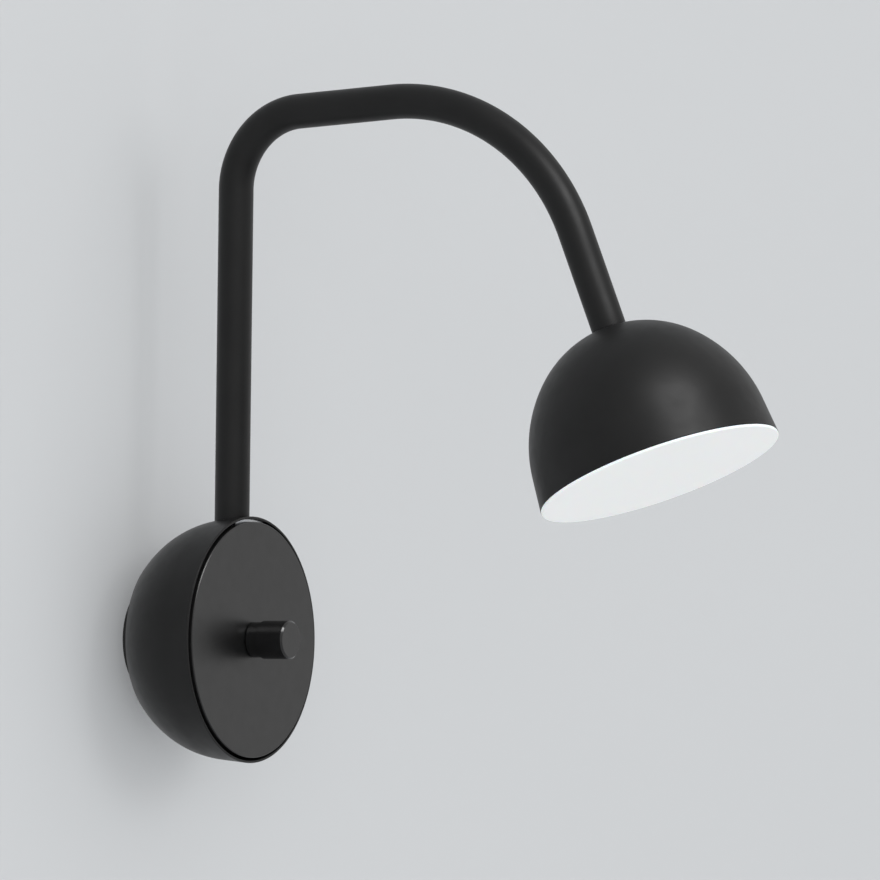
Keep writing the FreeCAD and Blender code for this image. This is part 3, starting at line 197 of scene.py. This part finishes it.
def turned(line, origin, axis, columns=240):
    """A line turned about an axis: origin + height times axis + radius times the turning direction.

    The turning direction is the cosine of the angle times the X axis plus its sine times the axis' own
    sideways direction.
    """
    axis = Vector(axis).normalized()
    side = Vector((1, 0, 0)) if abs(axis.x) < 0.5 else UP_AXIS
    other = axis.cross(side)
    angle = np.linspace(0, 2 * np.pi, columns, endpoint=False)
    direction = np.cos(angle)[:, None] * np.array(side) + np.sin(angle)[:, None] * np.array(other)
    return (np.array(origin) + line[:, 1, None, None] * np.array(axis)
            + line[:, 0, None, None] * direction[None])


def carried(path, radii, columns=72):
    """Rings carried along a path in the plane x = 0, one for each row of (y, z, direction).

    Each point is the path's point plus the ring's radius times the cosine of the angle along X plus its
    sine along the path's normal, which lies in the plane.
    """
    place, heading = path[:, :2], path[:, 2]
    angle = np.linspace(0, 2 * np.pi, columns, endpoint=False)
    out = np.zeros((len(path), columns, 3))
    out[:, :, 0] = radii[:, None] * np.cos(angle)
    across = radii[:, None] * np.sin(angle)
    out[:, :, 1] = place[:, None, 0] + across * np.cos(heading)[:, None]
    out[:, :, 2] = place[:, None, 1] + across * np.sin(heading)[:, None]
    return out


def skin(name, grids, wrap_rows=True):
    """One mesh over several grids. Each cell between neighbouring rows and columns is a face.

    Columns always meet round the axis; rows meet too where the line is closed. Points that coincide on an
    axis are merged, and the faces are turned outward.
    """
    points, faces, first = [], [], 0
    for grid in grids:
        rows, columns = grid.shape[:2]
        index = first + np.arange(rows * columns).reshape(rows, columns)
        index = np.hstack([index, index[:, :1]])
        if wrap_rows:
            index = np.vstack([index, index[:1]])
        faces.append(np.stack([index[:-1, :-1], index[1:, :-1], index[1:, 1:], index[:-1, 1:]], -1))
        points.append(grid.reshape(-1, 3))
        first += rows * columns
    points = np.concatenate(points)
    faces = np.concatenate([cells.reshape(-1, 4) for cells in faces])
    mesh = bpy.data.meshes.new(name)
    mesh.vertices.add(len(points))
    mesh.vertices.foreach_set("co", points.ravel())
    mesh.loops.add(faces.size)
    mesh.loops.foreach_set("vertex_index", faces.ravel())
    mesh.polygons.add(len(faces))
    mesh.polygons.foreach_set("loop_start", np.arange(0, faces.size, 4))
    mesh.update(calc_edges=True)
    tidy = bmesh.new()
    tidy.from_mesh(mesh)
    bmesh.ops.remove_doubles(tidy, verts=tidy.verts, dist=1e-7)
    bmesh.ops.recalc_face_normals(tidy, faces=tidy.faces)
    tidy.to_mesh(mesh)
    tidy.free()
    piece = bpy.data.objects.new(name, mesh)
    bpy.context.scene.collection.objects.link(piece)
    return piece


def drill(piece, holes):
    """Cut round holes (radius, start point, end point) through a piece."""
    grids = []
    for radius, start, end in holes:
        start, end = Vector(start), Vector(end)
        length = (end - start).length
        post = np.array([(0, 0), (radius, 0), (radius, length), (0, length)])
        grids.append(turned(post, start, end - start, columns=64))
    cutter = skin("cutter", grids, wrap_rows=False)
    modifier = piece.modifiers.new("holes", "BOOLEAN")
    modifier.operation = "DIFFERENCE"
    modifier.solver = "EXACT"
    modifier.object = cutter
    result = piece.evaluated_get(bpy.context.evaluated_depsgraph_get())
    mesh = bpy.data.meshes.new_from_object(result)
    piece.modifiers.clear()
    piece.data = mesh
    mesh.name = piece.name
    bpy.data.objects.remove(cutter)


def fitted(piece, node, body, slot):
    """Smooth a finished piece, give it its slot's finish and let it stand for its CAD node."""
    piece.data.shade_smooth()
    piece.data.set_sharp_from_angle(angle=math.radians(SHARP_ANGLE))
    piece.data.materials.clear()
    piece.data.materials.append(finishes[slot])
    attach(piece, body)
    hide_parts(node)


# ---------------------------------------------------------------------------------------------------
# Materials
# ---------------------------------------------------------------------------------------------------


class Finish:
    """A material under construction: one Principled shader and the textures that feed it."""

    def __init__(self, name, colour, roughness, metallic=0.0):
        self.material = bpy.data.materials.new(name)
        self.material.use_nodes = True
        self.nodes = self.material.node_tree.nodes
        self.links = self.material.node_tree.links
        self.shader = self.nodes["Principled BSDF"]
        self.place = self.nodes.new("ShaderNodeTexCoord").outputs["Object"]
        self.shader.inputs["Base Color"].default_value = (*colour, 1)
        self.shader.inputs["Roughness"].default_value = roughness
        self.shader.inputs["Metallic"].default_value = metallic
        self.colour = colour
        self.height = None

    def set(self, **values):
        """Plain numbers on the shader's own sockets."""
        for name, value in values.items():
            self.shader.inputs[name.replace("_", " ")].default_value = value
        return self

    def noise(self, scale, detail, stretch=None):
        """Cloudy noise from 0 to 1, scale cells to the metre, stretched along an axis when asked."""
        place = self.place
        if stretch:
            mapping = self.nodes.new("ShaderNodeMapping")
            mapping.inputs["Scale"].default_value = stretch
            self.links.new(place, mapping.inputs["Vector"])
            place = mapping.outputs["Vector"]
        node = self.nodes.new("ShaderNodeTexNoise")
        node.inputs["Scale"].default_value = scale
        node.inputs["Detail"].default_value = detail
        node.inputs["Roughness"].default_value = 0.5
        self.links.new(place, node.inputs["Vector"])
        return node.outputs["Fac"]

    def mottle(self, source, other):
        """Colour that drifts from the finish's own to another one with the noise."""
        ramp = self.nodes.new("ShaderNodeValToRGB")
        ramp.color_ramp.elements[0].position = 0.35
        ramp.color_ramp.elements[0].color = (*self.colour, 1)
        ramp.color_ramp.elements[1].position = 0.65
        ramp.color_ramp.elements[1].color = (*other, 1)
        self.links.new(source, ramp.inputs["Fac"])
        self.links.new(ramp.outputs["Color"], self.shader.inputs["Base Color"])

    def gloss(self, source, low, high):
        """Roughness that drifts between two values with the noise."""
        spread = self.nodes.new("ShaderNodeMapRange")
        spread.inputs["From Min"].default_value = 0.3
        spread.inputs["From Max"].default_value = 0.7
        spread.inputs["To Min"].default_value = low
        spread.inputs["To Max"].default_value = high
        self.links.new(source, spread.inputs["Value"])
        self.links.new(spread.outputs["Result"], self.shader.inputs["Roughness"])

    def relief(self, source, depth):
        """Bumps of a depth in metres, added to those already there."""
        bump = self.nodes.new("ShaderNodeBump")
        bump.inputs["Distance"].default_value = depth
        bump.inputs["Strength"].default_value = 1
        self.links.new(source, bump.inputs["Height"])
        if self.height:
            self.links.new(self.height, bump.inputs["Normal"])
        self.height = bump.outputs["Normal"]
        self.links.new(self.height, self.shader.inputs["Normal"])


def powder_coat(name, colour, other, roughness, specular, relief=0.012 * MM):
    """Matt powder coat: a fine orange peel, a finer grain, and slight drifts of colour and gloss."""
    finish = Finish(name, colour, roughness).set(IOR=1.5, Specular_IOR_Level=specular)
    finish.mottle(finish.noise(45, 3), other)
    finish.gloss(finish.noise(160, 3), roughness - 0.03, roughness + 0.03)
    finish.relief(finish.noise(900, 2), relief)
    finish.relief(finish.noise(3200, 2), relief / 8)
    return finish.material


def drawn_metal(name, colour, other, roughness, stretch=(1, 1, 1), relief=0.004 * MM):
    """Machined or plated metal: fine lines along one direction, and patches of slightly other gloss."""
    finish = Finish(name, colour, roughness, metallic=1.0)
    finish.mottle(finish.noise(120, 3), other)
    finish.gloss(finish.noise(400, 3), roughness - 0.05, roughness + 0.07)
    finish.relief(finish.noise(1500, 3, stretch=stretch), relief)
    return finish.material


def moulded(name, colour, other, roughness, relief=0.01 * MM):
    """Moulded plastic or rubber: a fine spark-eroded grain."""
    finish = Finish(name, colour, roughness).set(IOR=1.49)
    finish.mottle(finish.noise(90, 2), other)
    finish.gloss(finish.noise(300, 2), roughness - 0.04, roughness + 0.05)
    finish.relief(finish.noise(2600, 2), relief)
    return finish.material


def opal(name):
    """Opal acrylic lit from inside: milky white, softly glossy, a faint even glow."""
    finish = Finish(name, (0.87, 0.865, 0.868), 0.32).set(IOR=1.49)
    finish.set(Subsurface_Weight=0.35, Subsurface_Scale=0.006)
    finish.set(Emission_Color=(1.0, 0.99, 0.97, 1), Emission_Strength=0.21)
    finish.mottle(finish.noise(30, 2), (0.88, 0.875, 0.875))
    finish.gloss(finish.noise(220, 2), 0.29, 0.35)
    finish.relief(finish.noise(1400, 2), 0.002 * MM)
    return finish.material


finishes = {
    "black_powder": powder_coat("black_powder", (0.0076, 0.0076, 0.0077), (0.0092, 0.0092, 0.0093), 0.44,
                                0.22),
    "plate_powder": powder_coat("plate_powder", (0.0060, 0.0060, 0.0061), (0.0072, 0.0072, 0.0073), 0.35, 0.5,
                                0.01 * MM),
    "spacer_powder": powder_coat("spacer_powder", (0.010, 0.010, 0.0102), (0.013, 0.013, 0.013), 0.6, 0.3),
    "knob_gloss": moulded("knob_gloss", (0.006, 0.006, 0.0061), (0.008, 0.008, 0.0081), 0.16, 0.001 * MM),
    "zinc_steel": drawn_metal("zinc_steel", (0.60, 0.61, 0.62), (0.52, 0.54, 0.57), 0.34),
    "brass": drawn_metal("brass", (0.78, 0.58, 0.28), (0.70, 0.50, 0.22), 0.28, (1, 6, 1)),
    "shaft_alloy": drawn_metal("shaft_alloy", (0.71, 0.71, 0.72), (0.64, 0.64, 0.66), 0.30, (6, 1, 6)),
    "rubber_black": moulded("rubber_black", (0.018, 0.018, 0.018), (0.024, 0.024, 0.024), 0.72, 0.02 * MM),
    "housing_plastic": moulded("housing_plastic", (0.62, 0.62, 0.60), (0.57, 0.57, 0.55), 0.48),
    "terminal_plastic": moulded("terminal_plastic", (0.70, 0.70, 0.66), (0.64, 0.64, 0.60), 0.42),
    "lead_sheath": moulded("lead_sheath", (0.55, 0.55, 0.54), (0.50, 0.50, 0.49), 0.5),
    "board_white": moulded("board_white", (0.80, 0.80, 0.78), (0.76, 0.76, 0.74), 0.38, 0.004 * MM),
    "led_yellow": moulded("led_yellow", (0.85, 0.68, 0.14), (0.80, 0.60, 0.10), 0.3, 0.002 * MM),
    "reflector_white": moulded("reflector_white", (0.84, 0.84, 0.83), (0.80, 0.80, 0.79), 0.55),
    "opal_diffuser": opal("opal_diffuser"),
}

for part in frame["record"]["subparts"]:
    for slot in frame["nodes"][part["node"]].material_slots:
        slot.material = finishes[part["material_slot"]]

# ---------------------------------------------------------------------------------------------------
# The wall bowl and its front
# ---------------------------------------------------------------------------------------------------

bowl_centre = Vector((0, -BASE_REACH, 0))


def shell(curve, **flat):
    """Closed line of a thin bowl: the outer line, the inner line, and a rounded rim between them.

    Both ends of the outer line's flat and of the inner line's flat are left to the caller.
    """
    outer = bowl_line(*curve, **flat)
    inner = bowl_line(*curve, **flat, inset=BOWL_WALL)
    inner = inner[inner[:, 1] > 0.8 * MM]
    draft = math.radians(curve[2])
    inner_rim = RIM_RADIUS - BOWL_WALL / math.cos(draft)
    rim = rounded([outer[2], (RIM_RADIUS, 0), (inner_rim, 0), inner[0]], RIM_ROUND, closed=False)
    return outer, rim, inner


def wall_bowl():
    """The wall bowl: its shell turned about the lamp's own axis, with a gently rounded flat back."""
    outer, rim, inner = shell(BASE_CURVE, flat_height=BASE_DEPTH)
    back = rounded([outer[-2], outer[-1], (0, BASE_DEPTH)], BACK_ROUND, closed=False)
    floor = BASE_DEPTH - BOWL_WALL
    line = np.concatenate([[(0, BASE_DEPTH)], back[::-1][1:-1], outer[3:-1][::-1], rim, inner[1:],
                           [(inner[-1, 0] - 0.5 * MM, floor), (0, floor)]])
    piece = skin("wall_bowl", [turned(line, bowl_centre, -WALL_AXIS)], wrap_rows=False)
    behind, before = 3 * MM - SPACER_HEIGHT, -3 * MM - SPACER_HEIGHT
    holes = [(radius, (x, behind, z), (x, before, z)) for radius, x, z in BACK_HOLES]
    holes.append((TUBE_RADIUS + HOLE_CLEARANCE, (0, TUBE_Y, 0.7 * RIM_RADIUS),
                  (0, TUBE_Y, 1.1 * RIM_RADIUS)))
    drill(piece, holes)
    fitted(piece, "base_bowl", "base", "black_powder")


def front_plate():
    """The front plate: a flat ring with a bevelled front edge, every edge slightly broken."""
    draft = math.radians(BASE_CURVE[2])
    edge = RIM_RADIUS - (BASE_REACH - PLATE_FRONT + PLATE_THICKNESS) * math.tan(draft)
    edge -= BOWL_WALL / math.cos(draft) + PLATE_GAP
    back = PLATE_FRONT - PLATE_THICKNESS
    line = rounded([(BUSHING_RADIUS, back), (edge, back), (edge, PLATE_FRONT - PLATE_BEVEL),
                    (edge - PLATE_BEVEL, PLATE_FRONT), (BUSHING_RADIUS, PLATE_FRONT)], PLATE_ROUND)
    piece = skin("front_plate", [turned(line, (0, 0, 0), WALL_AXIS)])
    fitted(piece, "face_plate", "base", "plate_powder")


def dimmer_knob():
    """The turned knob: slim neck, chamfered front, hollow back and a bore, with a screw hole in its side."""
    line = rounded([
        (KNOB_HOLLOW, KNOB_BACK), (KNOB_NECK_RADIUS, KNOB_BACK), (KNOB_NECK_RADIUS, KNOB_BACK + KNOB_NECK),
        (KNOB_RADIUS, KNOB_BACK + KNOB_NECK), (KNOB_RADIUS, KNOB_FRONT - KNOB_CHAMFER),
        (KNOB_RADIUS - KNOB_CHAMFER, KNOB_FRONT), (0, KNOB_FRONT)], KNOB_ROUND, closed=False)
    bore = np.array([(0, SHAFT_TOP), (SHAFT_RADIUS, SHAFT_TOP), (SHAFT_RADIUS, KNOB_HOLLOW_TOP),
                     (KNOB_HOLLOW, KNOB_HOLLOW_TOP)])
    piece = skin("dimmer_knob", [turned(np.concatenate([bore, line]), (0, 0, 0), WALL_AXIS, 160)],
                 wrap_rows=False)
    start, end = [(x, KNOB_SCREW_Y, 0) for x in KNOB_SCREW_HOLE]
    drill(piece, [(KNOB_SCREW_RADIUS, start, end)])
    fitted(piece, "knob", "knob", "knob_gloss")


# ---------------------------------------------------------------------------------------------------
# The arm
# ---------------------------------------------------------------------------------------------------


def swan_neck():
    """The arm's centre line, as rows of (y, z, direction of the normal).

    A straight run, an arc, a run, a wider arc and the last run, each of which starts where the one before
    ends, in its direction.
    """
    rows = [np.array([[TUBE_Y, TUBE_FOOT, 0.0]])]
    heading = 0.0
    for run, bend, radius, steps in ((UPRIGHT_TOP - TUBE_FOOT, FIRST_BEND, FIRST_RADIUS, 48),
                                     (BRIDGE_RUN, SECOND_BEND, SECOND_RADIUS, 56), (END_RUN, 0, 0, 0)):
        y, z, heading = rows[-1][-1]
        ahead = np.array([-math.sin(heading), math.cos(heading)])
        share = np.linspace(0, 1, 9)[1:, None]
        straight = np.array([y, z]) + share * run * ahead
        rows.append(np.hstack([straight, np.full((8, 1), heading)]))
        if steps:
            turn = heading + math.radians(bend) * np.linspace(0, 1, steps + 1)[1:]
            centre = straight[-1] - radius * np.array([math.cos(heading), math.sin(heading)])
            arc = centre + radius * np.stack([np.cos(turn), np.sin(turn)], 1)
            rows.append(np.hstack([arc, turn[:, None]]))
    return np.concatenate(rows)


def tube_end(path):
    """Middle of the tube's far end and the direction in which the tube ends there."""
    y, z, heading = path[-1]
    return Vector((0, y, z)), Vector((0, -math.sin(heading), math.cos(heading)))


def bent_tube(path):
    """The bent tube: outer rings up the path and inner rings back down, with both mouths rounded.

    Near a mouth the ring's radius shrinks along a quarter circle as its place nears the end.
    """
    turn = np.linspace(0, np.pi / 2, 6)
    length = np.concatenate([[0], np.cumsum(np.hypot(*np.diff(path[:, :2], axis=0).T))])
    lip = TUBE_LIP * (1 - np.sin(turn))
    stations = np.concatenate([lip[::-1], length[1:-1], length[-1] - lip])
    fall = TUBE_LIP * (1 - np.cos(turn))
    inset = np.concatenate([fall[::-1], np.zeros(len(length) - 2), fall])
    dense = np.stack([np.interp(stations, length, path[:, i]) for i in range(3)], 1)
    outer = carried(dense, TUBE_RADIUS - inset)
    inner = carried(path, np.full(len(path), TUBE_RADIUS - TUBE_WALL))
    piece = skin("bent_tube", [np.concatenate([outer, inner[::-1]])])
    fitted(piece, "arm_tube", "arm", "black_powder")


# ---------------------------------------------------------------------------------------------------
# The lamp bowl
# ---------------------------------------------------------------------------------------------------


def lamp_bowl(origin, axis, seat):
    """The lamp bowl: its shell turned about the tube's last direction, with a small flat for the tube."""
    outer, rim, inner = shell(HEAD_CURVE, flat_radius=TUBE_RADIUS)
    line = np.concatenate([[(SPINDLE_RADIUS, seat)], outer[3:][::-1], rim, inner[1:],
                           [(SPINDLE_RADIUS, seat - BOWL_WALL)]])
    piece = skin("lamp_bowl", [turned(line, origin, axis)])
    fitted(piece, "head_bowl", "arm", "black_powder")


def opal_disc(origin, axis):
    """The diffuser: a disc with a softly rounded edge under the rim and a collar inside it."""
    draft = math.radians(HEAD_CURVE[2])
    collar = RIM_RADIUS - DIFFUSER_COLLAR * math.tan(draft) - BOWL_WALL / math.cos(draft) - HOLE_CLEARANCE
    inner = collar - DIFFUSER_WALL
    corners = [(0, -DIFFUSER_EDGE), (DIFFUSER_RADIUS, -DIFFUSER_EDGE), (DIFFUSER_RADIUS, 0), (collar, 0),
               (collar, DIFFUSER_COLLAR), (inner, DIFFUSER_COLLAR), (inner, DIFFUSER_WALL - DIFFUSER_EDGE),
               (0, DIFFUSER_WALL - DIFFUSER_EDGE)]
    fillets = np.array([1, DIFFUSER_ROUND / MM, 0.15, 0.15, 0.3, 0.3, 0.3, 1]) * MM
    line = rounded(corners, fillets, closed=False, steps=8)
    piece = skin("opal_disc", [turned(line, origin, axis)], wrap_rows=False)
    fitted(piece, "diffuser", "arm", "opal_diffuser")


wall_bowl()
front_plate()
dimmer_knob()
path = swan_neck()
end_point, end_axis = tube_end(path)
bent_tube(path)
crown_line = bowl_line(*HEAD_CURVE, flat_radius=TUBE_RADIUS)
head_seat = crown_line[-1, 1]
head_up = -end_axis
head_origin = end_point - head_up * head_seat
lamp_bowl(head_origin, head_up, head_seat)
opal_disc(head_origin, head_up)

# ---------------------------------------------------------------------------------------------------
# Stage, lights and camera
# ---------------------------------------------------------------------------------------------------

PALE = (0.631, 0.645, 0.658)
FLOOR_Z = -1.2
STUDIO_HALF, STUDIO_TOP, STUDIO_FRONT = 4, 4, -7
STUDIO_WALL = 0.4 * MM


def stage_material():
    """Plain pale paint, which the camera sees with softened shadows and gloss sees as its plain colour.

    The share of plain colour is a little over a quarter for the camera and the whole for gloss. The paint
    is only there from its front, so that no view is blocked from behind.
    """
    material = bpy.data.materials.new("studio_paint")
    material.use_nodes = True
    nodes, links = material.node_tree.nodes, material.node_tree.links
    shader = nodes["Principled BSDF"]
    shader.inputs["Base Color"].default_value = (*PALE, 1)
    shader.inputs["Roughness"].default_value = 0.9
    shader.inputs["Specular IOR Level"].default_value = 0.1
    even = nodes.new("ShaderNodeEmission")
    even.inputs["Color"].default_value = (*PALE, 1)
    rays, share = nodes.new("ShaderNodeLightPath"), nodes.new("ShaderNodeMath")
    share.operation = "MULTIPLY_ADD"
    share.inputs[1].default_value = 0.28
    soften = nodes.new("ShaderNodeMixShader")
    links.new(rays.outputs["Is Camera Ray"], share.inputs[0])
    links.new(rays.outputs["Is Glossy Ray"], share.inputs[2])
    links.new(share.outputs["Value"], soften.inputs["Fac"])
    links.new(shader.outputs["BSDF"], soften.inputs[1])
    links.new(even.outputs["Emission"], soften.inputs[2])
    clear = nodes.new("ShaderNodeBsdfTransparent")
    side = nodes.new("ShaderNodeNewGeometry")
    mix = nodes.new("ShaderNodeMixShader")
    links.new(side.outputs["Backfacing"], mix.inputs["Fac"])
    links.new(soften.outputs["Shader"], mix.inputs[1])
    links.new(clear.outputs["BSDF"], mix.inputs[2])
    links.new(mix.outputs["Shader"], nodes["Material Output"].inputs["Surface"])
    return material


def stage_plane(name, corners, material):
    """A flat sheet of the studio, whose front is where its four corners run anticlockwise."""
    mesh = bpy.data.meshes.new(name)
    mesh.from_pydata(corners, [], [(0, 1, 2, 3)])
    mesh.materials.append(material)
    sheet = bpy.data.objects.new(name, mesh)
    bpy.context.scene.collection.objects.link(sheet)


def light(name, place, target, size, power, shape="RECTANGLE"):
    """A soft lamp, rectangular or round, unseen by the camera, which faces its target."""
    data = bpy.data.lights.new(name, "AREA")
    data.shape = shape
    data.size, data.size_y = size
    data.energy = power
    lamp = bpy.data.objects.new(name, data)
    bpy.context.scene.collection.objects.link(lamp)
    lamp.location = place
    lamp.rotation_euler = (Vector(target) - Vector(place)).to_track_quat("-Z", "Y").to_euler()
    lamp.visible_camera = False
    return lamp


def towards(origin, azimuth, elevation, distance):
    """A point seen from the origin at an azimuth from straight ahead of the wall, and an elevation."""
    azimuth, elevation = math.radians(azimuth), math.radians(elevation)
    return Vector(origin) + distance * Vector((math.sin(azimuth) * math.cos(elevation),
                                               -math.cos(azimuth) * math.cos(elevation), math.sin(elevation)))


paint = stage_material()
left, right = -STUDIO_HALF, STUDIO_HALF
stage_plane("studio_wall", [(left, STUDIO_WALL, FLOOR_Z), (right, STUDIO_WALL, FLOOR_Z),
                            (right, STUDIO_WALL, STUDIO_TOP), (left, STUDIO_WALL, STUDIO_TOP)], paint)
stage_plane("studio_floor", [(left, STUDIO_FRONT, FLOOR_Z), (right, STUDIO_FRONT, FLOOR_Z),
                             (right, STUDIO_WALL, FLOOR_Z), (left, STUDIO_WALL, FLOOR_Z)], paint)

# the softbox makes the highlight on the lamp bowl; the front lamp makes the faint shadows on the wall
lamp_middle, wall_middle = (0, -0.28, 0.1), (0, 0, 0.1)
softbox = light("softbox", towards(lamp_middle, -28, 48, 2.2), lamp_middle, (1.4, 0.8), 34)
softbox.visible_diffuse = False
front = light("front", towards(wall_middle, 6.6, 19, 5), wall_middle, (2.8, 2.8), 42, "DISK")
fill = light("fill", towards(wall_middle, -60, 6, 5), wall_middle, (3.4, 3.0), 50)
for lamp in (front, fill):
    lamp.visible_glossy = False


def studio_world():
    """Even grey light all round, seen by the camera as the same pale grey as the wall.

    Gloss sees it a little darker than matt surfaces do.
    """
    world = bpy.data.worlds.new("studio")
    world.use_nodes = True
    nodes, links = world.node_tree.nodes, world.node_tree.links
    seen = nodes["Background"]
    matt, gloss = nodes.new("ShaderNodeBackground"), nodes.new("ShaderNodeBackground")
    seen.inputs["Color"].default_value = (*PALE, 1)
    matt.inputs["Strength"].default_value = 0.87
    gloss.inputs["Strength"].default_value = 0.8
    for background in (matt, gloss):
        background.inputs["Color"].default_value = (1, 1, 1, 1)
    rays = nodes.new("ShaderNodeLightPath")
    mirrored, mix = nodes.new("ShaderNodeMixShader"), nodes.new("ShaderNodeMixShader")
    links.new(rays.outputs["Is Glossy Ray"], mirrored.inputs["Fac"])
    links.new(matt.outputs["Background"], mirrored.inputs[1])
    links.new(gloss.outputs["Background"], mirrored.inputs[2])
    links.new(rays.outputs["Is Camera Ray"], mix.inputs["Fac"])
    links.new(mirrored.outputs["Shader"], mix.inputs[1])
    links.new(seen.outputs["Background"], mix.inputs[2])
    links.new(mix.outputs["Shader"], nodes["World Output"].inputs["Surface"])
    bpy.context.scene.world = world


studio_world()

# the photograph's viewpoint: direction in degrees, distance, and where it puts the wall bowl's rim centre
CAMERA_AZIMUTH, CAMERA_ELEVATION, CAMERA_ROLL = 59.647, -1.612, 0.699
CAMERA_DISTANCE = 6.355
IMAGE_SIDE = 880
RIM_PIXEL = (251.59, 639.76)
PIXELS_PER_METRE = 2056.7


def photo_camera():
    """Camera at the photograph's viewpoint.

    Its place is the rim's centre, plus the distance along the view direction, less the offset that the
    rim's centre has from the middle of the picture. Its three axes are right, up and back, where right
    and up are turned together by the roll.
    """
    azimuth, elevation = math.radians(CAMERA_AZIMUTH), math.radians(CAMERA_ELEVATION)
    back = Vector((-math.sin(azimuth) * math.cos(elevation), -math.cos(azimuth) * math.cos(elevation),
                   math.sin(elevation)))
    level = (-back).cross(UP_AXIS).normalized()
    steep = level.cross(-back)
    roll = math.radians(CAMERA_ROLL)
    right = level * math.cos(roll) + steep * math.sin(roll)
    up = steep * math.cos(roll) - level * math.sin(roll)
    offset_x = (RIM_PIXEL[0] - IMAGE_SIDE / 2) / PIXELS_PER_METRE
    offset_y = (IMAGE_SIDE / 2 - RIM_PIXEL[1]) / PIXELS_PER_METRE
    place = bowl_centre + back * CAMERA_DISTANCE - right * offset_x - up * offset_y
    data = bpy.data.cameras.new("photo_camera")
    data.sensor_width = 36
    data.lens = PIXELS_PER_METRE * CAMERA_DISTANCE / IMAGE_SIDE * data.sensor_width
    data.clip_end = 60
    camera = bpy.data.objects.new("photo_camera", data)
    bpy.context.scene.collection.objects.link(camera)
    camera.matrix_world = Matrix((
        (right.x, up.x, back.x, place.x), (right.y, up.y, back.y, place.y),
        (right.z, up.z, back.z, place.z), (0, 0, 0, 1)))
    bpy.context.scene.camera = camera


photo_camera()
bpy.context.scene.view_settings.view_transform = "Standard"
